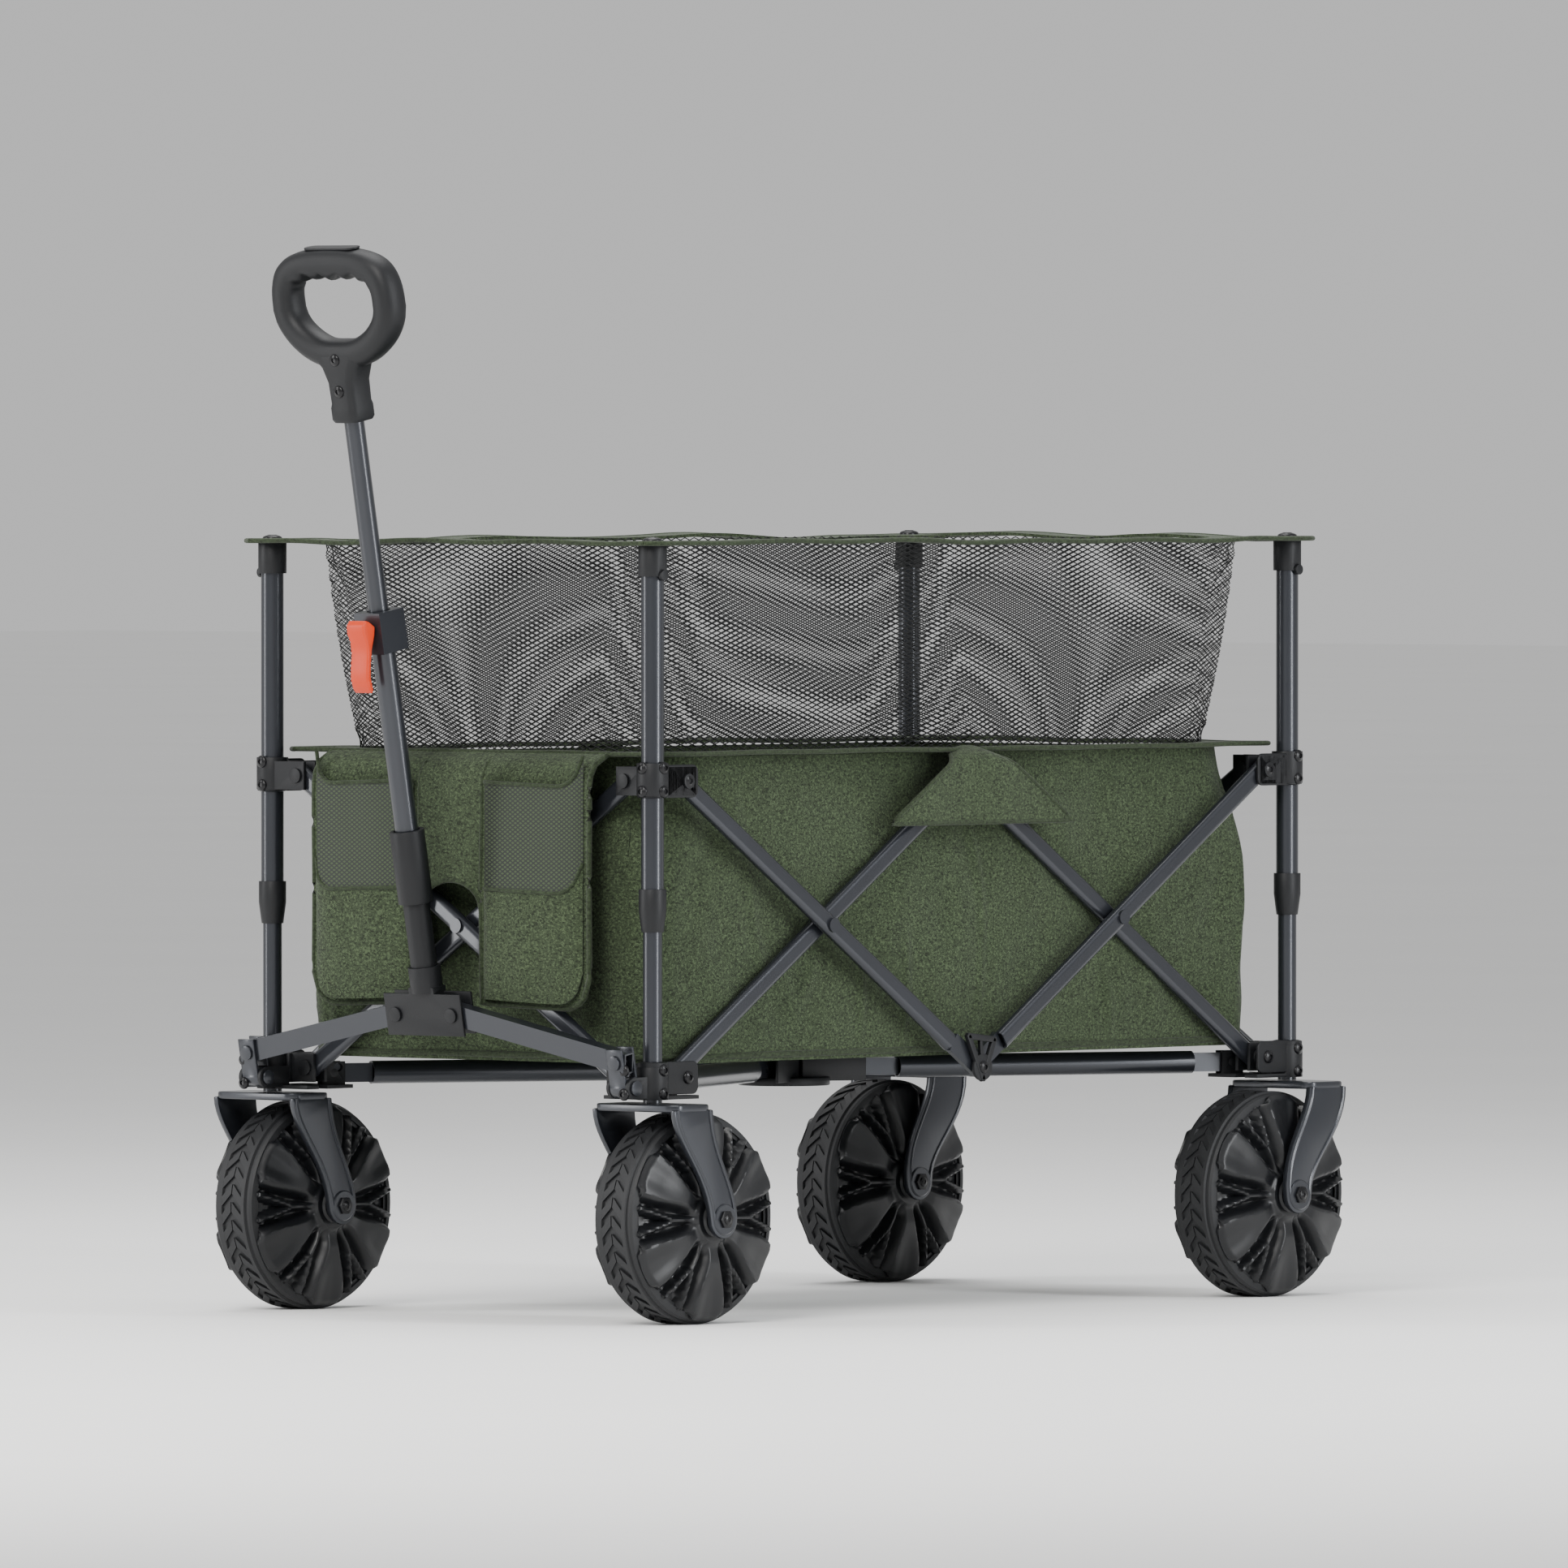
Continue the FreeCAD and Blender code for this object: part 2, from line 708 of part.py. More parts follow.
def floor_hub():
    """The hub under the middle of the floor, which the four struts gather round."""
    top = size("strut_height") - size("hub_drop")
    low = top - size("hub_thickness")
    centre = frame_place(0, 0, 0)
    disc = rod("hub_disc", "2 * hub_radius", (0, 0, low), (0, 0, top), centre)
    hole_in_hub = rod("hub_hole", "hub_hole_diameter", (0, 0, low - PAST), (0, 0, top + PAST), centre)
    return node("floor_hub", [cut("hub_ring", disc, [hole_in_hub])])


def axle_spot(corner):
    """Middle of a wheel: front wheels trail behind their posts and rear ones stand ahead of theirs."""
    return inward(corner)(0, size("axle_trail"), size("wheel_diameter") / 2)


def fork_leg(name, corner, low, high):
    """One leg: a plate that narrows from the fork's top to a round foot about the axle."""
    out_y = CORNERS[corner][1]
    trail = -out_y * size("axle_trail")
    drop = size("fork_plate_top") - size("wheel_diameter") / 2
    half = size("fork_leg_top_width") / 2
    radius = size("fork_foot_radius")

    body = doc.addObject("PartDesign::Body", f"{name}_body")
    planes = {item.Role: item for item in body.Origin.OriginFeatures}
    sketch = body.newObject("Sketcher::SketchObject", f"{name}_outline")
    sketch.AttachmentSupport = (planes["YZ_Plane"], [""])
    sketch.MapMode = "FlatFace"
    left, right = tangent_angle(-half - trail, drop, radius, 1), tangent_angle(half - trail, drop, radius, -1)
    ends = [Vector(trail + radius * math.cos(a), radius * math.sin(a), 0) for a in (left, right)]
    tops = [Vector(-half, drop, 0), Vector(half, drop, 0)]
    sketch.addGeometry(Part.LineSegment(tops[1], tops[0]), False)
    sketch.addGeometry(Part.LineSegment(tops[0], ends[0]), False)
    foot = Part.Circle(Vector(trail, 0, 0), Vector(0, 0, 1), radius)
    sketch.addGeometry(Part.ArcOfCircle(foot, left, right + 2 * math.pi), False)
    sketch.addGeometry(Part.LineSegment(ends[1], tops[1]), False)
    pad = body.newObject("PartDesign::Pad", f"{name}_pad")
    pad.Profile = sketch
    bind(pad, Length="fork_leg_thickness")
    base = inward(corner)(0, 0, size("wheel_diameter") / 2)
    body.Placement = Placement(Vector(base.x + low, base.y, base.z), Rotation())
    return body


def tangent_angle(across, up, radius, turn):
    """Direction from a circle's centre to where the line from an outside point touches it."""
    away = math.hypot(across, up)
    return math.atan2(up, across) + turn * math.acos(radius / away)


def fork(corner):
    """A wheel fork: plate, two legs, kingpin, and the axle with its nuts."""
    name = f"{corner}_fork"
    spot = inward(corner)
    top = size("fork_plate_top")
    half_x, half_y = size("fork_plate_x") / 2, size("fork_plate_y") / 2
    leg = size("fork_leg_thickness")
    centre = spot(0, 0, 0)
    plate = box(
        f"{name}_plate",
        (centre.x - half_x, centre.y - half_y, top - size("fork_plate_thickness")),
        (centre.x + half_x, centre.y + half_y, top),
    )
    legs = [
        fork_leg(f"{name}_leg{turn}", corner, low, low + leg)
        for turn, low in enumerate((-half_x, half_x - leg))
    ]
    drill = rod(
        f"{name}_drill",
        "axle_diameter",
        axle_spot(corner) - Vector(90, 0, 0),
        axle_spot(corner) + Vector(90, 0, 0),
    )
    moulding = cut(f"{name}_moulding", fuse(f"{name}_solid", [plate, *legs]), [drill])
    kingpin = rod(f"{name}_kingpin", "kingpin_diameter", spot(0, 0, top), spot(0, 0, top + size("kingpin_length")))
    middle = axle_spot(corner)
    nut = size("nut_height")
    axle = fuse(
        f"{name}_axle",
        [
            rod(f"{name}_rod", "axle_diameter", middle - Vector(half_x, 0, 0), middle + Vector(half_x, 0, 0)),
            rod(f"{name}_nut0", "nut_diameter", middle + Vector(half_x, 0, 0), middle + Vector(half_x + nut, 0, 0)),
            rod(f"{name}_nut1", "nut_diameter", middle - Vector(half_x, 0, 0), middle - Vector(half_x + nut, 0, 0)),
        ],
    )
    return node(name, [moulding, kingpin, axle])


def revolved(name, sections, place):
    """A body turned about its own Z axis from closed half sections of (radius, height) points."""
    body = doc.addObject("PartDesign::Body", name)
    planes = {item.Role: item for item in body.Origin.OriginFeatures}
    sketch = body.newObject("Sketcher::SketchObject", f"{name}_section")
    sketch.AttachmentSupport = (planes["XZ_Plane"], [""])
    sketch.MapMode = "FlatFace"
    for points in sections:
        for first, second in zip(points, points[1:] + points[:1]):
            sketch.addGeometry(Part.LineSegment(Vector(*first, 0), Vector(*second, 0)), False)
    turned = body.newObject("PartDesign::Revolution", f"{name}_turned")
    turned.Profile = sketch
    turned.ReferenceAxis = (sketch, ["V_Axis"])
    turned.Angle = 360
    body.Placement = place
    return body


def wheel(corner):
    """A moulded wheel with a domed middle, and the soft tread band round it."""
    place = Placement(axle_spot(corner), Rotation(Vector(0, 1, 0), 90))
    bore = size("axle_diameter") / 2 + size("axle_play")
    rim = size("wheel_diameter") / 2 - size("tyre_depth")
    half = size("tyre_width") / 2
    wide = size("wheel_width") / 2
    hub = size("wheel_hub_diameter") / 2
    slope, wall = size("wheel_slope"), size("wheel_wall")
    swell = size("wheel_swell")
    upper_half = [(rim, half), (rim - slope, half + swell), (hub + slope, wide - swell), (hub, wide), (bore, wide)]
    lower_half = [(radius, -height) for radius, height in reversed(upper_half)]
    deep = wide - 2 * swell
    room_half = [(rim - wall, size("wheel_room_edge") / 2), (hub + 2 * swell, deep), (hub + size("hub_wall"), deep)]
    room = [(radius, -height) for radius, height in reversed(room_half)] + room_half
    core = revolved(f"{corner}_core_body", [lower_half + upper_half, room], place)
    node(f"{corner}_wheel_core", [core])
    outer = size("wheel_diameter") / 2
    shoulder, drop = size("tyre_shoulder"), size("tyre_shoulder_drop")
    tread = [
        (rim, -half),
        (outer - drop, -half),
        (outer, shoulder - half),
        (outer, half - shoulder),
        (outer - drop, half),
        (rim, half),
    ]
    node(f"{corner}_tyre", [revolved(f"{corner}_tyre_body", [tread], place)])


def clevis(label, side):
    """The forked piece that tilts on a front bracket and holds the yoke bar's outer end."""
    name = f"{label}_yoke_clevis"
    place = tilt_frame(side)
    half = size("clevis_gap") / 2
    outer = half + size("clevis_cheek")
    wide = size("clevis_width") / 2
    eye_half = size("clevis_eye_width") / 2
    radius = size("clevis_eye_radius")
    eye = rod(f"{name}_eye", 2 * radius, (-eye_half, 0, 0), (eye_half, 0, 0), place)
    block = box(f"{name}_block", (-eye_half, -outer, 0), (eye_half, outer, radius), place)
    solids = [eye, block]
    for turn, (a, b) in enumerate([(-outer, -half), (half, outer)]):
        solids.append(box(f"{name}_cheek{turn}", (-wide, a, size("clevis_low")), (wide, b, size("clevis_top")), place))
    rise = size("yoke_outer_rise")
    drill = rod(f"{name}_drill", "pin_diameter", (0, -REACH, rise), (0, REACH, rise), place)
    body = cut(f"{name}_body", fuse(f"{name}_solid", solids), [hole_along_x(f"{name}_bore", place, 2 * REACH), drill])
    tilt_half = eye_half + size("eye_gap") + size("cheek_thickness")
    tilt_place = place * Placement(Vector(), Rotation(Vector(0, 1, 0), 90))
    tilt_pin = pin(f"{name}_tilt_pin", tilt_place, -tilt_half - size("pin_stand_out"), tilt_half + size("pin_stand_out"))
    arm_place = place * Placement(Vector(0, 0, rise), Rotation(Vector(1, 0, 0), 90))
    arm_pin = pin(f"{name}_arm_pin", arm_place, -outer, outer)
    return node(name, [body, tilt_pin, arm_pin])


def yoke_bar(label, side):
    """A rectangular tube from a clevis to the yoke plates."""
    name = f"{label}_yoke_bar"
    centre = tilt_frame(0)
    start = Vector(side * size("yoke_outer_x"), 0, size("yoke_outer_rise"))
    end = Vector(side * size("yoke_inner_x"), 0, size("yoke_inner_rise"))
    along = end - start
    length = along.Length
    turn = Rotation(along, Vector(0, 1, 0), along.cross(Vector(0, 1, 0)), "XYZ")
    place = centre * Placement(start, turn)
    past = size("yoke_bar_width") / 2
    wide, thick = size("yoke_bar_width") / 2, size("yoke_bar_thickness") / 2
    wall = size("bar_wall")
    skin = box(f"{name}_skin", (-past, -thick, -wide), (length + past, thick, wide), place)
    bore = box(f"{name}_inside", (-2 * REACH, wall - thick, wall - wide), (length + 2 * REACH, thick - wall, wide - wall), place)
    drills = [
        rod(f"{name}_drill{at:.0f}", "pin_diameter + pin_clearance", (at, -REACH, 0), (at, REACH, 0), place)
        for at in (0.0, length)
    ]
    return node(name, [cut(f"{name}_tube", skin, [bore, *drills])])


def yoke_hub():
    """The two yoke plates, the socket above them and the lowest handle tube with its sleeve."""
    place = tilt_frame(0)
    half = size("clevis_gap") / 2
    outer = half + size("clevis_cheek")
    wide = size("yoke_plate_width") / 2
    middle = size("yoke_inner_rise")
    tall = size("yoke_plate_height") / 2
    solids = []
    for turn, (a, b) in enumerate([(-outer, -half), (half, outer)]):
        solids.append(box(f"yoke_plate{turn}", (-wide, a, middle - tall), (wide, b, middle + tall), place))
    base, top = size("socket_base"), size("socket_top")
    bridge, half_bridge = size("yoke_bridge_height"), size("yoke_bridge_width") / 2
    solids.append(box("yoke_bridge", (-half_bridge, -outer, base), (half_bridge, outer, base + bridge), place))
    solids.append(rod("yoke_socket", "socket_diameter", (0, 0, base + bridge / 2), (0, 0, top), place))
    tube_low = base + bridge
    seat = rod("yoke_seat", "handle_lower_diameter", (0, 0, tube_low), (0, 0, top + PAST), place)
    near_x = size("yoke_inner_x")
    drills = [
        rod(f"yoke_drill{side}", "pin_diameter", (side * near_x, -REACH, middle), (side * near_x, REACH, middle), place)
        for side in (-1, 1)
    ]
    plates = cut("yoke_plates", fuse("yoke_solid", solids), [seat, *drills])
    near_place = place * Placement(Vector(near_x, 0, middle), Rotation(Vector(1, 0, 0), 90))
    near_pin = pin("yoke_near_pin", near_place, -outer, outer)
    far_place = place * Placement(Vector(-near_x, 0, middle), Rotation(Vector(1, 0, 0), 90))
    head = size("head_height")
    far_heads = [
        fuse(
            f"yoke_far_screw{turn}",
            [
                rod(f"yoke_far_head{turn}", "head_diameter", (0, 0, a), (0, 0, b), far_place),
                rod(f"yoke_far_stub{turn}", "pin_diameter", (0, 0, c), (0, 0, d), far_place),
            ],
        )
        for turn, (a, b, c, d) in enumerate(
            [(outer, outer + head, half, outer), (-outer - head, -outer, -outer, -half)]
        )
    ]
    tube = pipe(
        "handle_lower",
        "handle_lower_diameter",
        "handle_wall",
        (0, 0, tube_low),
        (0, 0, size("handle_lower_top")),
        place,
    )
    sleeve_solid = rod(
        "handle_sleeve_solid", "sleeve_outer", (0, 0, size("sleeve_low")), (0, 0, size("sleeve_high")), place
    )
    under = rod(
        "handle_sleeve_bore",
        "handle_lower_diameter + pin_clearance",
        (0, 0, size("sleeve_low") - PAST),
        (0, 0, size("sleeve_high") + PAST),
        place,
    )
    sleeve = cut("handle_sleeve", sleeve_solid, [under])
    node("yoke_hub", [plates, near_pin, *far_heads, tube, sleeve])


def handle_middle():
    """The middle handle tube with the clamp housing on its top."""
    place = tilt_frame(0)
    low, high = size("handle_middle_low"), size("handle_middle_high")
    tube = pipe("handle_middle", "handle_middle_diameter", "handle_wall", (0, 0, low), (0, 0, high), place)
    wide, deep = size("clamp_width") / 2, size("clamp_depth") / 2
    housing = box("clamp_block", (-wide, -deep, size("clamp_low")), (wide, deep, size("clamp_high")), place)
    bore = rod(
        "clamp_bore",
        "handle_middle_diameter + pin_clearance",
        (0, 0, size("clamp_low") - PAST),
        (0, 0, size("clamp_high") + PAST),
        place,
    )
    node("handle_middle_tube", [tube, cut("clamp_housing", housing, [bore])])


def clamp_lever():
    """The quick-release lever on the front of the clamp."""
    place = tilt_frame(0)
    front = -size("clamp_depth") / 2 - size("lever_gap")
    thick = size("lever_thickness")
    wide = size("lever_width") / 2
    high = size("lever_high")
    body = box("lever_blade", (-wide, front - thick, size("lever_low")), (wide, front, high), place)
    eye = rod("lever_eye", thick, (-wide, front - thick / 2, high), (wide, front - thick / 2, high), place)
    node("clamp_lever", [fuse("lever_whole", [body, eye])])


def handle_top():
    """The upper handle tube and the moulded grip with its finger loop."""
    place = tilt_frame(0)
    tube = pipe(
        "handle_upper",
        "handle_upper_diameter",
        "handle_wall",
        (0, 0, size("handle_upper_low")),
        (0, 0, size("handle_upper_high")),
        place,
    )
    node("handle_upper_tube", [tube])
    node("handle_grip", [grip_solid(place)])


def grip_solid(place):
    wide = size("grip_width") / 2
    neck, socket = size("grip_neck_width") / 2, size("grip_socket_width") / 2
    low, top = size("grip_loop_low"), size("grip_top")
    bar, sill = size("grip_bar"), size("grip_sill_width") / 2
    base = size("grip_socket_low")
    rise = (top - low) * size("grip_waist")
    chamfer, round_off = size("grip_chamfer"), size("grip_corner")
    splay, inset = size("grip_splay"), size("grip_window_corner")
    outline = [
        (-socket, base),
        (socket, base),
        (neck, low),
        (wide - splay, low + rise),
        (wide, top - chamfer),
        (wide - round_off, top),
        (round_off - wide, top),
        (-wide, top - chamfer),
        (splay - wide, low + rise),
        (-neck, low),
    ]
    window = [
        (-sill, low + size("grip_sill_height")),
        (sill, low + size("grip_sill_height")),
        (wide - bar, low + rise + inset),
        (wide - bar, top - bar - inset),
        (wide - bar - inset, top - bar),
        (inset + bar - wide, top - bar),
        (bar - wide, top - bar - inset),
        (bar - wide, low + rise + inset),
    ]
    body = doc.addObject("PartDesign::Body", "grip_body")
    planes = {item.Role: item for item in body.Origin.OriginFeatures}
    sketch = body.newObject("Sketcher::SketchObject", "grip_outline")
    sketch.AttachmentSupport = (planes["XZ_Plane"], [""])
    sketch.MapMode = "FlatFace"
    for points in (outline, window):
        for first, second in zip(points, points[1:] + points[:1]):
            sketch.addGeometry(Part.LineSegment(Vector(*first, 0), Vector(*second, 0)), False)
    pad = body.newObject("PartDesign::Pad", "grip_pad")
    pad.Profile = sketch
    bind(pad, Length="grip_thickness")
    pad.Midplane = True
    body.Placement = place
    bore = rod(
        "grip_bore",
        "handle_upper_diameter + pin_clearance",
        (0, 0, base - PAST),
        (0, 0, size("handle_upper_high") + 1),
        place,
    )
    return cut("grip_whole", body, [bore])


def basket():
    """The fabric liner: a padded floor, four lower walls and the four net panels above them."""
    half_x, half_y = size("basket_half_x"), size("basket_half_y")
    floor, rim, top = size("basket_floor"), size("basket_rim"), size("mesh_top")
    cloth = size("fabric_thickness")
    centre = frame_place(0, 0, 0)
    pieces = [
        box(
            "basket_floor_pad",
            (cloth - half_x, cloth - half_y, floor),
            (half_x - cloth, half_y - cloth, floor + size("floor_thickness")),
            centre,
        )
    ]
    for level, (low, high) in enumerate([(floor, rim), (rim, top)]):
        inner_y = half_y - cloth
        for side in (-1, 1):
            xs = sorted((side * half_x, side * (half_x - cloth)))
            ys = sorted((side * half_y, side * inner_y))
            pieces.append(box(f"basket_side{level}{side}", (xs[0], -inner_y, low), (xs[1], inner_y, high), centre))
            pieces.append(box(f"basket_end{level}{side}", (-half_x, ys[0], low), (half_x, ys[1], high), centre))
    node("basket", pieces)


def pocket_panel():
    """The sewn pocket panel that hangs on the outside of the front end: two pockets, open on top."""
    half = size("panel_half_width")
    top, low = size("basket_rim"), size("panel_low")
    cloth = size("fabric_thickness")
    front = -size("panel_forward")
    centre = frame_place(0, 0, 0)
    slot = size("panel_slot") / 2
    pocket_top = top - size("pocket_drop")
    deep = size("pocket_depth")
    pieces = [box("panel_back", (-half, front, pocket_top), (half, front + cloth, top), centre)]
    for side in (-1, 1):
        xs = sorted((side * slot, side * half))
        back = box(f"panel_back{side}", (xs[0], front, low), (xs[1], front + cloth, pocket_top), centre)
        shell = box(f"panel_shell{side}", (xs[0], front - deep, low), (xs[1], front, pocket_top - size("shell_drop")), centre)
        room = box(
            f"panel_room{side}",
            (xs[0] + cloth, front - deep + 2, low + cloth),
            (xs[1] - cloth, front + 1, pocket_top),
            centre,
        )
        pieces += [back, cut(f"panel_pocket{side}", shell, [room])]
    node("pocket_panel", pieces)


def build():
    fill_sheet()
    for corner in CORNERS:
        lower_post(corner)
        upper_post(corner)
        post_fittings(corner)
        low = size("post_foot_height") + size("bracket_lift")
        bracket(f"{corner}_lower_bracket", corner, low, size("lower_pivot_height"), False)
        high = size("upper_pivot_height") - size("cheek_height") / 2
        bracket(f"{corner}_upper_bracket", corner, high, size("upper_pivot_height"), True)
        side_bars(corner)
        strut(corner)
        fork(corner)
        wheel(corner)
    for end, out_y in (("front", -1), ("rear", 1)):
        end_bars(end, out_y)
    floor_hub()
    for label, side in (("near", 1), ("far", -1)):
        clevis(label, side)
        yoke_bar(label, side)
    yoke_hub()
    handle_middle()
    clamp_lever()
    handle_top()
    basket()
    pocket_panel()
    doc.recompute()


def write():
    """Check every object, then write each sub-part's shape under its own name."""
    for item in doc.Objects:
        if {"Invalid", "Error"} & set(item.State):
            raise RuntimeError(f"{item.Name} failed: {item.State}")
    os.makedirs("parts", exist_ok=True)
    box_all = FreeCAD.BoundBox()
    for item in nodes:
        shape = item.Shape
        if shape.isNull() or not shape.isValid():
            raise RuntimeError(f"{item.Label} has no valid shape")
        shape.exportStep(f"parts/{item.Label}.step")
        box_all.add(shape.BoundBox)
        print(f"{item.Label}: {len(shape.Solids)} solids, {shape.Volume / 1000:.2f} cm3")
    print(len(nodes), "sub-parts", box_all)


build()
write()
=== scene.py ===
"""Looks of a folding wagon with a pull handle, laid out as an add-on: one operator makes each group of pieces."""
import json
import math

import bmesh
import bpy
from bpy.props import FloatProperty, FloatVectorProperty, IntProperty, PointerProperty
from mathutils import Matrix, Vector, noise


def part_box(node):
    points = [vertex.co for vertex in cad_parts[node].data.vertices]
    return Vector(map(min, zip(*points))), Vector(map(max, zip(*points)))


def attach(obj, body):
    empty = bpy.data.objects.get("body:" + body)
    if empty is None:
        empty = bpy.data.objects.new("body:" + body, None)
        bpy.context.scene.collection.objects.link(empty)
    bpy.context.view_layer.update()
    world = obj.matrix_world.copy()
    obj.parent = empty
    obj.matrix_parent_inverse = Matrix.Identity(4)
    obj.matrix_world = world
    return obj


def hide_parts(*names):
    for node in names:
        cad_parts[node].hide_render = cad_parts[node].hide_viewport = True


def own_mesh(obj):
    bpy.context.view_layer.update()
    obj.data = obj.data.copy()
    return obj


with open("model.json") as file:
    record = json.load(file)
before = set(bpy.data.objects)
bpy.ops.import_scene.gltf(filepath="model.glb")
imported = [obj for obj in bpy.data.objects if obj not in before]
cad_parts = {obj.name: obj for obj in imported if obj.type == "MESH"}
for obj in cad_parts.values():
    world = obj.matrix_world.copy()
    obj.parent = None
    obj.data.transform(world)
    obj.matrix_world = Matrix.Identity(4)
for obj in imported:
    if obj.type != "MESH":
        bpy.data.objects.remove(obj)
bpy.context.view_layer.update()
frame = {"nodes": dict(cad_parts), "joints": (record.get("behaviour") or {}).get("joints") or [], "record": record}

bl_info = {
    "name": "Folding Wagon",
    "version": (1, 0, 0),
    "blender": (4, 5, 0),
    "location": "3D View > Sidebar > Wagon",
    "description": "Builds the cloth, net, wheels, grip and finishes of a folding wagon round its frame",
    "category": "Add Mesh",
}

JOINTS = {joint["name"]: joint for joint in frame["joints"]}
CORNERS = {"near_front": (1, -1), "near_rear": (1, 1), "far_front": (-1, -1), "far_rear": (-1, 1)}


def joint_spot(name):
    return Vector(JOINTS[name]["pos_m"])


def box_centre(node):
    low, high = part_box(node)
    return (Vector(low) + Vector(high)) / 2


def box_size(node):
    low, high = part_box(node)
    return Vector(high) - Vector(low)


POST = {corner: box_centre(f"{corner}_lower_post") for corner in CORNERS}
HALF_X = POST["near_front"].x
HALF_Y = (POST["near_rear"].y - POST["near_front"].y) / 2
MID_Y = (POST["near_rear"].y + POST["near_front"].y) / 2
RIM_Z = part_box("pocket_panel")[1].z
SHELF_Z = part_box("basket")[1].z + 0.008
FLOOR_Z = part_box("basket")[0][2]
TILT = joint_spot("handle_tilt")
LEAN = math.atan2(-JOINTS["handle_top_slide"]["axis"][1], JOINTS["handle_top_slide"]["axis"][2])
FOLD_ANGLE = math.radians(JOINTS["fold"]["range_deg"][1])
BAR_RUN = joint_spot("near_top_centre").y - joint_spot("fold").y
BAR_RISE = joint_spot("near_top_centre").z - joint_spot("fold").z
BAR_ANGLE = math.atan2(BAR_RISE, BAR_RUN)
RUN_LOST = BAR_RUN - math.hypot(BAR_RUN, BAR_RISE) * math.cos(BAR_ANGLE + FOLD_ANGLE)
KEEP_Y = 1 - RUN_LOST / HALF_Y
KEEP_X = 1 - RUN_LOST / (2 * HALF_X)
HANDLE = Matrix.Translation((0, TILT.y, TILT.z)) @ Matrix.Rotation(LEAN, 4, "X")


# ---------------------------------------------------------------- materials


class Value:
    """A number socket that adds Math nodes when it is used in an expression."""

    def __init__(self, shader, socket):
        self.shader = shader
        self.socket = socket

    def _join(self, operation, first, second):
        return Value(self.shader, self.shader.add("ShaderNodeMath", {"operation": operation}, {0: first, 1: second}))

    def __add__(self, other):
        return self._join("ADD", self, other)

    __radd__ = __add__

    def __sub__(self, other):
        return self._join("SUBTRACT", self, other)

    def __rsub__(self, other):
        return self._join("SUBTRACT", other, self)

    def __mul__(self, other):
        return self._join("MULTIPLY", self, other)

    __rmul__ = __mul__

    def __pow__(self, other):
        return self._join("POWER", self, other)

    def clamp(self):
        return self._join("MAXIMUM", self._join("MINIMUM", self, 1.0), 0.0)


class Shader:
    """A material with a Principled shader, and one method that adds any other node."""

    def __init__(self, name):
        self.material = bpy.data.materials.new(name)
        self.material.use_nodes = True
        self.tree = self.material.node_tree
        self.surface = next(n for n in self.tree.nodes if n.type == "BSDF_PRINCIPLED")

    def add(self, kind, settings=None, inputs=None, output=0):
        node = self.tree.nodes.new(kind)
        for name, setting in (settings or {}).items():
            setattr(node, name, setting)
        for name, amount in (inputs or {}).items():
            self.feed(node.inputs[name], amount)
        return node.outputs[output]

    def feed(self, socket, amount):
        if isinstance(amount, Value):
            amount = amount.socket
        if isinstance(amount, bpy.types.NodeSocket):
            self.tree.links.new(amount, socket)
        else:
            socket.default_value = amount

    def value(self, kind, settings=None, inputs=None, output=0):
        return Value(self, self.add(kind, settings, inputs, output))

    def noise(self, scale, detail=4.0, vector=None, roughness=0.5):
        inputs = {"Scale": scale, "Detail": detail, "Roughness": roughness, "Vector": vector or self.place()}
        return self.value("ShaderNodeTexNoise", {}, inputs)

    def place(self):
        return self.add("ShaderNodeTexCoord", output=3)

    def stretched(self, scale):
        return self.add("ShaderNodeVectorMath", {"operation": "MULTIPLY"}, {0: self.place(), 1: scale})

    def mix(self, factor, first, second, blend="MIX"):
        settings = {"data_type": "RGBA", "blend_type": blend}
        return self.add("ShaderNodeMix", settings, {0: factor, 6: first, 7: second}, output=2)

    def steps(self, factor, low, high):
        inputs = {"Value": factor, "From Min": low, "From Max": high}
        return self.value("ShaderNodeMapRange", {"interpolation_type": "SMOOTHSTEP"}, inputs)

    def bump(self, height, strength, distance):
        inputs = {"Height": height, "Strength": strength, "Distance": distance}
        self.feed(self.surface.inputs["Normal"], self.add("ShaderNodeBump", {}, inputs))

    def set(self, **sockets):
        for name, amount in sockets.items():
            self.feed(self.surface.inputs[name.replace("_", " ")], amount)


def rgb(colour, gain=1.0):
    return (colour[0] * gain, colour[1] * gain, colour[2] * gain, 1.0)


def frame_paint(looks):
    """Charcoal powder coat: a fine orange-peel, faint mottling and softly polished high spots."""
    shader = Shader("charcoal powder coat")
    mottle = shader.noise(9.0, 5.0)
    grain = shader.noise(900.0, 2.0)
    colour = shader.mix(mottle, rgb(looks.frame_colour, 0.86), rgb(looks.frame_colour, 1.16))
    shader.set(Base_Color=colour, Roughness=0.24 + mottle * 0.1 + grain * 0.05, Metallic=0.55)
    shader.surface.inputs["Coat Weight"].default_value = 0.4
    shader.surface.inputs["Coat Roughness"].default_value = 0.18
    shader.bump(grain, 0.12, 0.0003)
    return shader.material


def moulded_plastic(name, colour, rough, grain_size=700.0, relief=0.25, gloss=0.3):
    """Moulded plastic with a spark-eroded grain and slightly uneven gloss."""
    shader = Shader(name)
    grain = shader.noise(grain_size, 3.0)
    cloud = shader.noise(14.0, 4.0)
    tint = shader.mix(cloud, rgb(colour, 0.85), rgb(colour, 1.2))
    shader.set(Base_Color=tint, Roughness=rough + cloud * 0.12 + grain * 0.08)
    shader.surface.inputs["Specular IOR Level"].default_value = gloss
    shader.bump(grain, relief, 0.0004)
    return shader.material


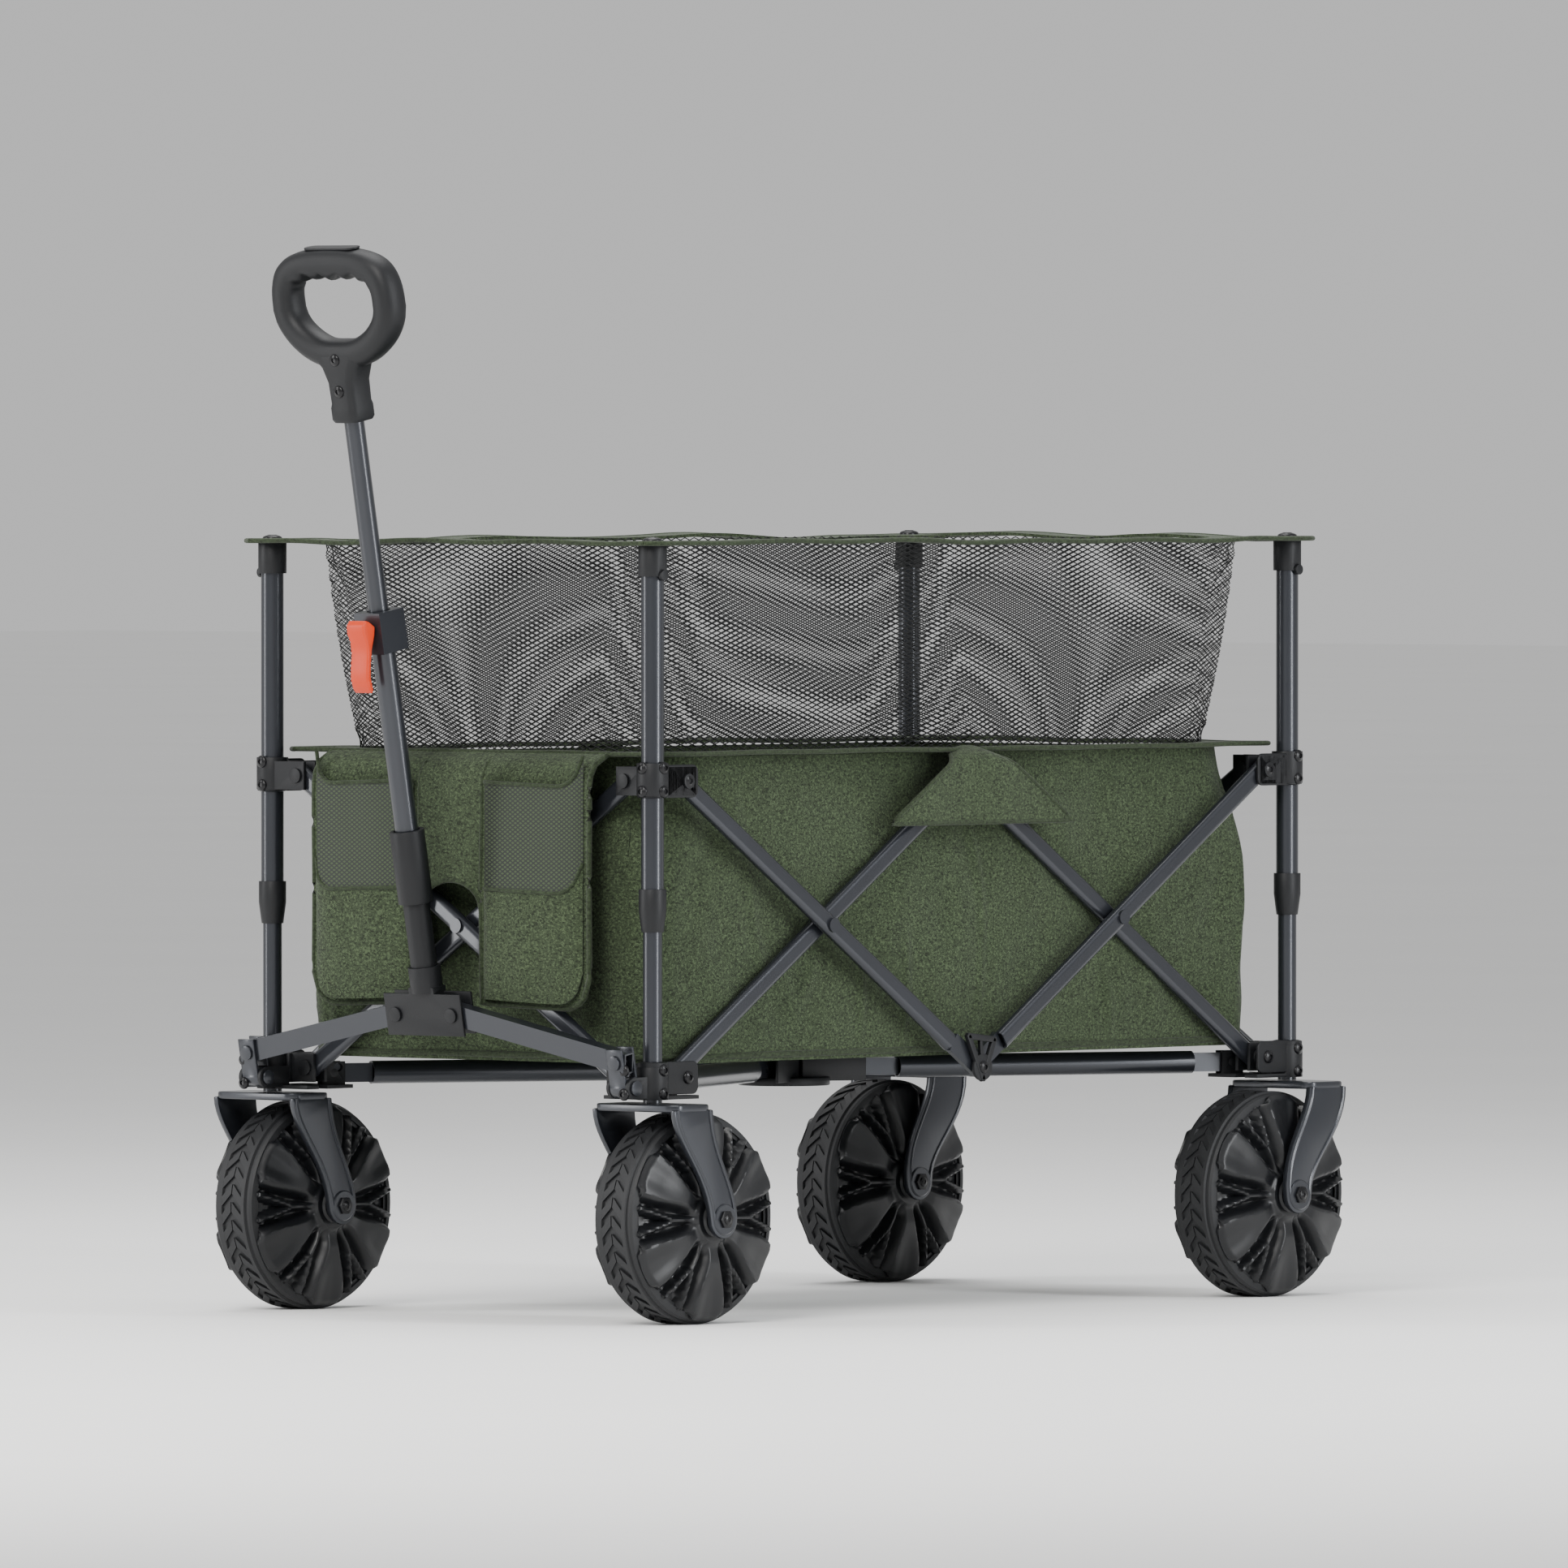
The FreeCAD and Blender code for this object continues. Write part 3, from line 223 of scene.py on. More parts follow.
def heather_cloth(name, colour, light, dark, weave=1400.0):
    """Heathered woven cloth: light and dark fibres, soft creases and a plain weave in relief."""
    shader = Shader(name)
    fibre = shader.noise(430.0, 3.0, roughness=0.65)
    fleck = shader.noise(300.0, 2.0, shader.stretched((1.0, 1.0, 1.8)))
    cloud = shader.noise(5.0, 4.0)
    mid = shader.mix(cloud, rgb(colour, 0.88), rgb(colour, 1.12))
    lit = shader.mix(shader.steps(fibre, 0.47, 0.62), mid, rgb(light))
    base = shader.mix(shader.steps(fleck, 0.5, 0.66) * 0.85, lit, rgb(dark))
    wave = {"wave_type": "BANDS", "bands_direction": "Z"}
    weft = shader.value("ShaderNodeTexWave", wave, {"Scale": weave / 6.0, "Vector": shader.place()}, output=1)
    wave = {"wave_type": "BANDS", "bands_direction": "DIAGONAL"}
    warp = shader.value("ShaderNodeTexWave", wave, {"Scale": weave / 6.0, "Vector": shader.place()}, output=1)
    shader.set(Base_Color=base, Roughness=0.82 + fibre * 0.15)
    shader.surface.inputs["Specular IOR Level"].default_value = 0.2
    shader.surface.inputs["Sheen Weight"].default_value = 0.08
    shader.surface.inputs["Sheen Roughness"].default_value = 0.5
    shader.bump(weft * 0.3 + warp * 0.3 + fibre * 0.9, 0.35, 0.0009)
    return shader.material


def pocket_net(looks):
    """The close net over the pockets: dark cords over green cloth in a fine diamond lattice."""
    shader = Shader("pocket net")
    lines = []
    for turn in (1.0, -1.0):
        slope = shader.stretched((1.0, 1.0, 1.6 * turn))
        settings = {"wave_type": "BANDS", "bands_direction": "DIAGONAL"}
        lines.append(shader.value("ShaderNodeTexWave", settings, {"Scale": 95.0, "Vector": slope}, output=1))
    holes = (lines[0] * lines[1]).clamp()
    open_net = shader.steps(holes, 0.14, 0.34)
    green = rgb(looks.cloth_colour, 1.5)
    colour = shader.mix(open_net, rgb((0.006, 0.009, 0.006)), green)
    shader.set(Base_Color=colour, Roughness=0.7 + open_net * 0.2)
    shader.bump(1 - open_net, 0.5, 0.0008)
    return shader.material


def tread_rubber(looks):
    """Foam rubber tread: nearly black, dulled where it has rolled."""
    shader = Shader("tread rubber")
    dust = shader.noise(26.0, 6.0)
    grain = shader.noise(800.0, 3.0)
    colour = shader.mix(dust, rgb(looks.wheel_colour, 0.8), rgb(looks.wheel_colour, 1.5))
    shader.set(Base_Color=colour, Roughness=0.5 + dust * 0.15 + grain * 0.1)
    shader.bump(grain, 0.3, 0.0005)
    return shader.material


def make_materials():
    looks = bpy.context.scene.wagon_looks
    cloth = looks.cloth_colour
    return {
        "frame": frame_paint(looks),
        "bracket": moulded_plastic("bracket plastic", looks.bracket_colour, 0.38),
        "wheel": moulded_plastic("wheel plastic", looks.wheel_colour, 0.27, 400.0, 0.12, 0.42),
        "tread": tread_rubber(looks),
        "grip": moulded_plastic("grip rubber", looks.bracket_colour, 0.42, 950.0, 0.3),
        "lever": moulded_plastic("lever plastic", looks.lever_colour, 0.3, 600.0, 0.1),
        "screw": moulded_plastic("blackened steel", (0.004, 0.004, 0.005), 0.2, 500.0, 0.08),
        "cloth": heather_cloth(
            "heather cloth", cloth, [c * 2.1 for c in cloth], [c * 0.34 for c in cloth]
        ),
        "binding": heather_cloth(
            "edge binding", [c * 0.8 for c in cloth], [c * 1.3 for c in cloth], [c * 0.4 for c in cloth], 2200.0
        ),
        "net": moulded_plastic("net cord", (0.007, 0.0075, 0.008), 0.5, 1500.0, 0.3),
        "pocket_net": pocket_net(looks),
    }


MATERIALS = {}


def finish_of(name):
    if not MATERIALS:
        MATERIALS.update(make_materials())
    return MATERIALS[name]


# ---------------------------------------------------------------- mesh tools


def new_piece(name, mesh, finish, body, smooth=40.0):
    """A finished mesh as an object that rides on one body of the frame."""
    piece = bpy.data.objects.new(name, mesh)
    bpy.context.scene.collection.objects.link(piece)
    mesh.materials.append(finish_of(finish))
    for face in mesh.polygons:
        face.use_smooth = True
    mesh.set_sharp_from_angle(angle=math.radians(smooth))
    if body:
        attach(piece, body)
    return piece


def mesh_from(bm, name):
    bmesh.ops.remove_doubles(bm, verts=bm.verts, dist=1e-6)
    bmesh.ops.recalc_face_normals(bm, faces=bm.faces)
    mesh = bpy.data.meshes.new(name)
    bm.to_mesh(mesh)
    bm.free()
    return mesh


def bevel_sharp(bm, width, segments=2, angle=30.0):
    """Round every edge that is sharper than an angle."""
    bmesh.ops.remove_doubles(bm, verts=bm.verts, dist=1e-6)
    bmesh.ops.recalc_face_normals(bm, faces=bm.faces)
    edges = [e for e in bm.edges if len(e.link_faces) == 2 and e.calc_face_angle(0) > math.radians(angle)]
    bmesh.ops.bevel(bm, geom=edges, offset=width, segments=segments, profile=0.6, affect="EDGES", clamp_overlap=True)


def prism(outline, low, high, place=Matrix.Identity(4), bevel=0.0, segments=2):
    """An outline in local XY raised from low to high along local Z, its edges rounded."""
    bm = bmesh.new()
    base = [bm.verts.new((x, y, low)) for x, y in outline]
    top = [bm.verts.new((x, y, high)) for x, y in outline]
    count = len(outline)
    bm.faces.new(list(reversed(base)))
    bm.faces.new(top)
    for at in range(count):
        bm.faces.new((base[at], base[(at + 1) % count], top[(at + 1) % count], top[at]))
    if bevel:
        bevel_sharp(bm, bevel, segments)
    bm.transform(place)
    return bm


def merge(bm, other):
    """Add another mesh's geometry to the first one."""
    mesh = bpy.data.meshes.new("part")
    other.to_mesh(mesh)
    other.free()
    bm.from_mesh(mesh)
    bpy.data.meshes.remove(mesh)
    return bm


def rounded_outline(width, height, radius, steps=5):
    """A rectangle about the origin with round corners."""
    points = []
    for turn, (sx, sy) in enumerate([(1, 1), (-1, 1), (-1, -1), (1, -1)]):
        cx, cy = sx * (width / 2 - radius), sy * (height / 2 - radius)
        for step in range(steps + 1):
            angle = math.pi / 2 * (turn + step / steps)
            points.append((cx + radius * math.cos(angle), cy + radius * math.sin(angle)))
    return points


def turned(profile, place=Matrix.Identity(4), steps=48):
    """A solid turned about local Z from (radius, height) points, closed on the axis."""
    bm = bmesh.new()
    rings = []
    for radius, height in profile:
        if radius < 1e-7:
            rings.append([bm.verts.new((0, 0, height))])
            continue
        rings.append(
            [
                bm.verts.new((radius * math.cos(a), radius * math.sin(a), height))
                for a in (2 * math.pi * step / steps for step in range(steps))
            ]
        )
    for first, second in zip(rings, rings[1:]):
        for at in range(steps):
            after = (at + 1) % steps
            corners = [first[at % len(first)], first[after % len(first)]]
            corners += [second[after % len(second)], second[at % len(second)]]
            unique = list(dict.fromkeys(corners))
            if len(unique) > 2:
                bm.faces.new(unique)
    bm.transform(place)
    return bm


def swept(path, section, closed=False, ups=None):
    """A tube whose section, given as (across, up) points, follows a path of points."""
    bm = bmesh.new()
    rings = []
    count = len(path)
    for at, point in enumerate(path):
        after = path[(at + 1) % count] if closed or at + 1 < count else point
        before = path[at - 1] if closed or at else point
        along = (Vector(after) - Vector(before)).normalized()
        up = Vector(ups[at]) if ups else Vector((0, 0, 1))
        side = along.cross(up)
        side = side.normalized() if side.length > 1e-6 else along.orthogonal().normalized()
        up = side.cross(along)
        rings.append([bm.verts.new(Vector(point) + side * x + up * y) for x, y in section])
    size = len(section)
    spans = count if closed else count - 1
    for at in range(spans):
        first, second = rings[at], rings[(at + 1) % count]
        for k in range(size):
            bm.faces.new((first[k], first[(k + 1) % size], second[(k + 1) % size], second[k]))
    if not closed:
        bm.faces.new(list(reversed(rings[0])))
        bm.faces.new(rings[-1])
    return bm


def circle_section(radius, sides=8):
    return [(radius * math.cos(2 * math.pi * k / sides), radius * math.sin(2 * math.pi * k / sides)) for k in range(sides)]


def sheet_mesh(spot, columns, rows, thickness):
    """A cloth of even thickness over a grid: spot(s, t) gives a point, s and t from 0 to 1."""
    bm = bmesh.new()
    grid = [[Vector(spot(c / columns, r / rows)) for c in range(columns + 1)] for r in range(rows + 1)]
    front, back = [], []
    for r in range(rows + 1):
        front.append([])
        back.append([])
        for c in range(columns + 1):
            across = grid[r][min(c + 1, columns)] - grid[r][max(c - 1, 0)]
            up = grid[min(r + 1, rows)][c] - grid[max(r - 1, 0)][c]
            normal = across.cross(up).normalized()
            front[r].append(bm.verts.new(grid[r][c] + normal * thickness / 2))
            back[r].append(bm.verts.new(grid[r][c] - normal * thickness / 2))
    for r in range(rows):
        for c in range(columns):
            bm.faces.new((front[r][c], front[r][c + 1], front[r + 1][c + 1], front[r + 1][c]))
            bm.faces.new((back[r][c], back[r + 1][c], back[r + 1][c + 1], back[r][c + 1]))
    edge = [(0, c) for c in range(columns)] + [(r, columns) for r in range(rows)]
    edge += [(rows, c) for c in range(columns, 0, -1)] + [(r, 0) for r in range(rows, 0, -1)]
    for at, (r, c) in enumerate(edge):
        nr, nc = edge[(at + 1) % len(edge)]
        bm.faces.new((front[r][c], back[r][c], back[nr][nc], front[nr][nc]))
    return bm


def rounded_copy(node, body, finish, width, smooth=35.0):
    """The finished form of a frame piece: the same solid with its moulded edges rounded."""
    bm = bmesh.new()
    bm.from_mesh(frame["nodes"][node].data)
    bmesh.ops.remove_doubles(bm, verts=bm.verts, dist=2e-6)
    bmesh.ops.dissolve_limit(bm, angle_limit=math.radians(1.0), verts=bm.verts, edges=bm.edges)
    edges = [e for e in bm.edges if len(e.link_faces) == 2 and e.calc_face_angle(0) > math.radians(40)]
    bmesh.ops.bevel(bm, geom=edges, offset=width, segments=2, profile=0.5, affect="EDGES", clamp_overlap=True)
    mesh = bpy.data.meshes.new(f"{node}_form")
    bm.to_mesh(mesh)
    bm.free()
    piece = new_piece(f"{node}_form", mesh, finish, body, smooth)
    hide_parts(node)
    return piece


def dome_screw(bm, place, radius=0.0065, height=0.004):
    """A low domed button-head screw with a socket, standing on local z = 0."""
    profile = [(0, -0.001), (radius, -0.001), (radius, height * 0.25)]
    profile += [(radius * math.cos(a), height * (0.25 + 0.75 * math.sin(a))) for a in (0.35, 0.7, 1.05)]
    profile += [(radius * 0.42, height), (radius * 0.36, height * 0.55), (0, height * 0.5)]
    return merge(bm, turned(profile, place, 20))


def facing(spot, direction):
    """A place at a spot whose local z points along a direction."""
    return Matrix.Translation(spot) @ Vector(direction).to_track_quat("Z", "Y").to_matrix().to_4x4()


# ---------------------------------------------------------------- cloth


def loop_spot(end, share, half_x, half_y, radius):
    """A plan point and outward direction on the tub's outline: a side with its two corners, or an end between them."""
    side_run = 2 * (half_y - radius)
    arc = math.pi / 2 * radius
    if end:
        x = (share - 0.5) * 2 * (half_x - radius)
        return Vector((x, half_y, 0)), Vector((0, 1, 0))
    along = share * (side_run + 2 * arc)
    if along < arc:
        turn = -math.pi / 2 + along / radius
        centre = Vector((half_x - radius, -half_y + radius, 0))
    elif along > arc + side_run:
        turn = (along - arc - side_run) / radius
        centre = Vector((half_x - radius, half_y - radius, 0))
    else:
        return Vector((half_x, -half_y + radius + along - arc, 0)), Vector((1, 0, 0))
    out = Vector((math.cos(turn), math.sin(turn), 0))
    return centre + out * radius, out


def tub_point(panel, share, height, half_x, half_y, radius, push=0.0):
    """A point on one of the tub's four panels: near, far, front or rear."""
    end = panel in ("front", "rear")
    point, out = loop_spot(end, share, half_x, half_y, radius)
    point = point + out * push
    point.x *= -1 if panel == "far" else 1
    point.y *= -1 if panel == "front" else 1
    return Vector((point.x, point.y + MID_Y, height))


PANELS = {
    "near": ("near_front_upper", (0, 1, 0), "near_front", KEEP_Y),
    "far": ("far_front_upper", (0, 1, 0), "far_front", KEEP_Y),
    "front": ("near_front_upper", (1, 0, 0), "near_front", KEEP_X),
    "rear": ("near_rear_upper", (1, 0, 0), "near_rear", KEEP_X),
}


def soft_piece(name, bm, finish, panel, smooth=60.0):
    """Cloth on one side of the tub: it rises with the upper posts."""
    body, axis, corner, keep = PANELS[panel]
    piece = new_piece(name, mesh_from(bm, name), finish, body, smooth)
    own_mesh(piece)
    return piece


def wall_push(cloth, place, z, seed):
    """How far the wall stands out of its plane: a slack belly, folds down from the rim and a few crumples."""
    rise = (z - FLOOR_Z) / (RIM_Z - FLOOR_Z)
    belly = cloth.belly * math.sin(math.pi * min(max(rise, 0), 1)) ** 0.7
    folds = noise.noise(Vector((place.x * 9, place.y * 9, rise * 1.3 + seed))) * cloth.fold_depth
    crumple = noise.noise(Vector((place.x * 30, place.y * 30, rise * 7 + seed))) * cloth.fold_depth * 0.35
    line = abs(noise.noise(Vector((place.x * 12 + 3, place.y * 12, rise * 0.9 + seed * 2))))
    where = smooth(noise.noise(place * 5 + Vector((seed, 0, 0))), 0.0, 0.3)
    crease = max(0.0, 1 - line * 8) ** 2 * cloth.fold_depth * 0.42 * where
    crumple += crease
    held = min(1.0, 6 * rise, 5 * (1 - rise) + 0.15)
    return belly + (folds + crumple) * max(held, 0)


def wall_point(cloth, panel, share, z, push=0.0):
    """A point on a wall: full and square low down, drawn in with rounder corners at the rim."""
    rise = (z - FLOOR_Z) / (RIM_Z - FLOOR_Z)
    drawn = smooth(rise, 0.55, 1.0)
    radius = cloth.corner + (cloth.rim_corner - cloth.corner) * drawn
    flat = tub_point(panel, share, z, cloth.half_x, cloth.half_y, cloth.corner, push)
    square = tub_point(panel, share, z, cloth.half_x, cloth.half_y, cloth.corner)
    half_x, half_y = cloth.half_x - cloth.rim_inset * drawn, cloth.half_y - cloth.rim_inset * drawn
    spare_x = max(abs(square.x) - (half_x - radius), 0)
    spare_y = max(abs(square.y - MID_Y) - (half_y - radius), 0)
    spare = Vector((spare_x, spare_y, 0))
    over = spare.length - radius
    if spare.x > 0 or spare.y > 0:
        inward = spare.normalized() * max(over, 0)
        flat.x -= math.copysign(inward.x, square.x)
        flat.y -= math.copysign(inward.y, square.y - MID_Y)
    return flat


def make_walls(cloth):
    """The four side panels of the tub, with the rim tape and the piped hem sewn on."""
    walls = {}
    for seed, panel in enumerate(PANELS):
        end = panel in ("front", "rear")
        columns = 80 if end else 240

        def spot(s, t, panel=panel, seed=seed):
            z = FLOOR_Z + 0.004 + (RIM_Z - FLOOR_Z - 0.006) * t
            flat = tub_point(panel, s, z, cloth.half_x, cloth.half_y, cloth.corner)
            return wall_point(cloth, panel, s, z, wall_push(cloth, flat, z, seed * 3.7))

        walls[panel] = soft_piece(f"{panel}_wall", sheet_mesh(spot, columns, 44, cloth.thickness), "cloth", panel)
        flat, fold = flat_ring(cloth, panel, seed, True)
        ring = soft_piece(f"{panel}_rim_tape", flat, "cloth", panel)
        edge = soft_piece(f"{panel}_rim_edge", fold, "binding", panel)
        path = [wall_point(cloth, panel, s / columns, FLOOR_Z + 0.010, 0.0015) for s in range(columns + 1)]
        hem = soft_piece(f"{panel}_hem", swept(path, circle_section(0.0032)), "binding", panel)
        sewn = [ring, edge, hem]
        walls[panel + "_sewn"] = sewn
    return walls


def net_point(cloth, panel, share, rise):
    """A point on the net: it spreads from the rim of the tub to the top tape and draws in a little between them."""
    top = tub_point(panel, share, 0, cloth.net_top_x, cloth.net_top_y, cloth.net_top_corner)
    low = tub_point(panel, share, 0, cloth.net_low_x, cloth.net_low_y, cloth.net_low_corner)
    place = low + (top - low) * (rise + 0.10 * math.sin(math.pi * rise))
    place.z = RIM_Z + (cloth.top_z - RIM_Z) * rise
    return place


def make_nets(cloth):
    """The net between the tub and the top tape: two sets of cords crossing in flat diamonds."""
    nets = {}
    rows = round((cloth.top_z - RIM_Z) / cloth.mesh_height)
    for panel in PANELS:
        end = panel in ("front", "rear")
        columns = round(2 * (cloth.half_x - 0.05 if end else cloth.half_y) / cloth.mesh_width)
        bm = bmesh.new()
        for turn in (1, -1):
            for at in range(1, columns + rows):
                low, high = max(0, rows - at), min(rows, columns + rows - at)
                steps = max(2, round((high - low) / 4))
                path = []
                for step in range(steps + 1):
                    climb = low + (high - low) * step / steps
                    share = (at - rows + climb) / columns
                    path.append(net_point(cloth, panel, share if turn > 0 else 1 - share, climb / rows))
                merge_strand(bm, path, cloth.cord / 2)
        nets[panel] = soft_piece(f"{panel}_net", bm, "net", panel, smooth=80.0)
    return nets


def merge_strand(bm, path, radius):
    """Add a thin four-sided cord along a path."""
    last = None
    for at, point in enumerate(path):
        along = (path[min(at + 1, len(path) - 1)] - path[max(at - 1, 0)]).normalized()
        side = along.cross(Vector((0, 0, 1))).normalized() * radius
        up = side.cross(along).normalized() * radius
        ring = [bm.verts.new(point + offset) for offset in (side, up, -side, -up)]
        if last:
            for k in range(4):
                bm.faces.new((last[k], last[(k + 1) % 4], ring[(k + 1) % 4], ring[k]))
        last = ring


def flat_ring(cloth, panel, seed, rim):
    """A flat tape lying level round the tub: the rim's, inside the posts, or the top one, over their caps."""
    end = panel in ("front", "rear")
    if rim:
        out_x, out_y, out_radius = HALF_X - 0.008, HALF_Y - 0.012, 0.010
        in_x, in_y, in_radius, height = cloth.net_low_x, cloth.net_low_y, cloth.net_low_corner, RIM_Z + 0.0015
    else:
        out_x, out_y, out_radius = HALF_X + cloth.overhang, HALF_Y + cloth.overhang, 0.012
        in_x, in_y, in_radius, height = cloth.net_top_x, cloth.net_top_y, cloth.net_top_corner, cloth.top_z

    def spot(s, t):
        outside = tub_point(panel, s, height, out_x, out_y, out_radius)
        inside = tub_point(panel, s, height, in_x, in_y, in_radius)
        place = inside + (outside - inside) * t
        along = place.x if end else place.y
        wave = noise.noise(Vector((along * 7.0, seed * 5.1, 1.0))) * cloth.tape_wave * (0.4 if rim else 1.0)
        free = min(1.0, (HALF_X - abs(place.x)) * 12 if end else (HALF_Y - abs(place.y - MID_Y)) * 12)
        return place + Vector((0, 0, wave * max(free, 0.0)))

    steps = 30 if end else 90
    bm = sheet_mesh(spot, steps, 4, cloth.tape_thickness)
    return bm, swept([spot(s / steps, 1.0) for s in range(steps + 1)], circle_section(cloth.tape_thickness * 0.8))


def make_top_tapes(cloth):
    """The flat tape that lies on the caps of the posts and carries the net, held by a button on each cap."""
    tapes = {}
    for seed, panel in enumerate(PANELS):
        flat, fold = flat_ring(cloth, panel, seed, False)
        tape = soft_piece(f"{panel}_top_tape", flat, "cloth", panel)
        tapes[panel] = (tape, soft_piece(f"{panel}_top_edge", fold, "binding", panel))
    for corner in CORNERS:
        place = Matrix.Translation((POST[corner].x, POST[corner].y, cloth.top_z + cloth.tape_thickness / 2))
        button = dome_screw(bmesh.new(), place, 0.0095, 0.0042)
        name = f"{corner}_cap_button"
        new_piece(name, mesh_from(button, name), "screw", f"{corner}_upper", 40)
    return tapes


def make_flaps(cloth):
    """The rounded triangular flap on each side that covers the joint at the middle of the top bars."""
    flaps = {}
    for panel, side in (("near", 1), ("far", -1)):
        def spot(s, t, side=side):
            rise = 1 - t
            half = 0.022 + (cloth.flap_half - 0.022) * rise ** 0.85
            along = (s - 0.5) * 2 * half
            z = RIM_Z + 0.004 - (cloth.flap_drop * rise) - 0.006 * (abs(2 * s - 1) ** 3) * (1 - rise)
            out = HALF_X + 0.0095 - 0.021 * max(0.0, 1 - rise * 5) ** 2 + 0.0012 * math.sin(along * 60)
            return (side * out, MID_Y + along * side, z)

        flap = soft_piece(f"{panel}_flap", sheet_mesh(spot, 30, 16, 0.002), "cloth", panel)
        bound = []
        for t in range(17):
            bound.append(spot(0.0, 1 - t / 16))
        for s in range(1, 31):
            bound.append(spot(s / 30, 0.0))
        for t in range(1, 17):
            bound.append(spot(1.0, t / 16))
        edge = soft_piece(f"{panel}_flap_binding", swept(bound, circle_section(0.0022)), "binding", panel)
        flaps[panel] = (flap, edge)
    return flaps


def make_floor(cloth):
    """The padded floor in three lengths: the outer two lie against the walls and the middle one lies on the hub."""
    floors = {}
    split = 0.05
    reach = cloth.half_x - 0.004
    for label, low, high, body in (
        ("near", split, reach, "near_front_upper"),
        ("middle", -split, split, "floor"),
        ("far", -reach, -split, "far_front_upper"),
    ):
        def spot(s, t, low=low, high=high):
            x = low + (high - low) * s
            y = MID_Y + (t - 0.5) * 2 * (cloth.half_y - 0.006)
            quilt = 0.0022 * abs(math.sin((t - 0.5) * math.pi * 4)) ** 0.5
            corner = min(cloth.half_y - abs(y - MID_Y), 0.05) / 0.05
            x = max(min(x, reach - 0.03 * (1 - corner) ** 2), -reach + 0.03 * (1 - corner) ** 2)
            return (x, y, FLOOR_Z + 0.006 + quilt)

        name = f"floor_mat_{label}"
        piece = new_piece(name, mesh_from(sheet_mesh(spot, 14, 90, 0.004), name), "cloth", body, 60)
        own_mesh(piece)
        floors[label] = piece
    return floors


def panel_back(cloth, z):
    """How far forward the pocket panel lies at a height: flat below, and rolled over the rim at the top."""
    roll = max(0.0, (z - (RIM_Z - 0.03)) / 0.03)
    return cloth.panel_forward - 0.028 * (1 - math.sqrt(max(0.0, 1 - min(roll, 1.0) ** 2)))


def make_pockets(cloth):
    """The pocket panel on the front end: two legs with a net-topped pocket each, joined above an arched slot."""
    made = []
    base, slot_half, half = cloth.panel_low, 0.04, 0.178
    for label, side in (("near", 1), ("far", -1)):
        def edge_low(s):
            across = slot_half + (half - slot_half) * s
            near_edge = max(0.0, across - (half - 0.03)) / 0.03
            return base + 0.03 * (1 - math.sqrt(1 - min(near_edge, 1.0) ** 2)) + 0.004 * (1 - s)

        def leg(s, t, side=side):
            across = slot_half + (half - slot_half) * s
            z = edge_low(s) + (RIM_Z + 0.002 - edge_low(s)) * t
            pull = 0.0016 * noise.noise(Vector((across * 22 * side, z * 9, 2.0)))
            return (side * across, MID_Y - panel_back(cloth, z) + pull, z)

        def pocket(s, t, side=side, top=0.104, start=0.0):
            across = slot_half + 0.006 + (half - slot_half - 0.012) * s
            low = edge_low(s) + 0.004
            z = low + start + (top - start) * t
            share = (z - low) / (cloth.pocket_top - base)
            belly = 0.0105 * (math.sin(math.pi * s) ** 0.5) * math.sin(math.pi * min(share * 0.62 + 0.12, 1.0)) ** 0.6
            crease = 0.0014 * noise.noise(Vector((across * 30 * side, z * 16, 6.0)))
            return (side * across, MID_Y - cloth.panel_forward - 0.0022 - belly + crease, z)

        def window(s, t):
            return pocket(s, t, side, cloth.pocket_top - base, 0.102)

        back = soft_piece(f"pocket_back_{label}", sheet_mesh(leg, 26, 40, 0.0024), "cloth", "front")
        lower = soft_piece(f"pocket_{label}", sheet_mesh(pocket, 26, 20, 0.002), "cloth", "front")
        net = soft_piece(f"pocket_net_{label}", sheet_mesh(window, 26, 12, 0.0014), "pocket_net", "front")
        outline = [leg(0.0, 1 - t / 20) for t in range(21)] + [leg(s / 20, 0.0) for s in range(1, 21)]
        outline += [leg(1.0, t / 20) for t in range(1, 21)]
        piping = swept(outline, circle_section(0.0026))
        for height in (0.104, cloth.pocket_top - base):
            line = [pocket(s / 20, 1.0, side, height) for s in range(21)]
            piping = merge(piping, swept([Vector(p) + Vector((0, -0.0008, 0)) for p in line], circle_section(0.002)))
        bound = soft_piece(f"pocket_piping_{label}", piping, "binding", "front")
        made += [back, lower, net, bound]

    def bridge(s, t):
        across = (s - 0.5) * 2 * slot_half
        arch = cloth.arch_top - 0.03 * (1 - math.sqrt(max(0.0, 1 - (across / slot_half) ** 2)))
        z = arch + (RIM_Z + 0.002 - arch) * t
        return (across, MID_Y - panel_back(cloth, z) - 0.0004, z)

    middle = soft_piece("pocket_bridge", sheet_mesh(bridge, 24, 18, 0.0026), "cloth", "front")
    line = [bridge(s / 24, 0) for s in range(25)]
    arch = soft_piece("pocket_arch_piping", swept(line, circle_section(0.0026)), "binding", "front")
    return made + [middle, arch]


# ---------------------------------------------------------------- wheels and forks


def smooth(value, low, high):
    """0 below low, 1 above high, and an even curve between them."""
    t = min(max((value - low) / (high - low), 0.0), 1.0)
    return t * t * (3 - 2 * t)


def bar_mask(offset, half, soft):
    return 1 - smooth(abs(offset), half - soft, half + soft)


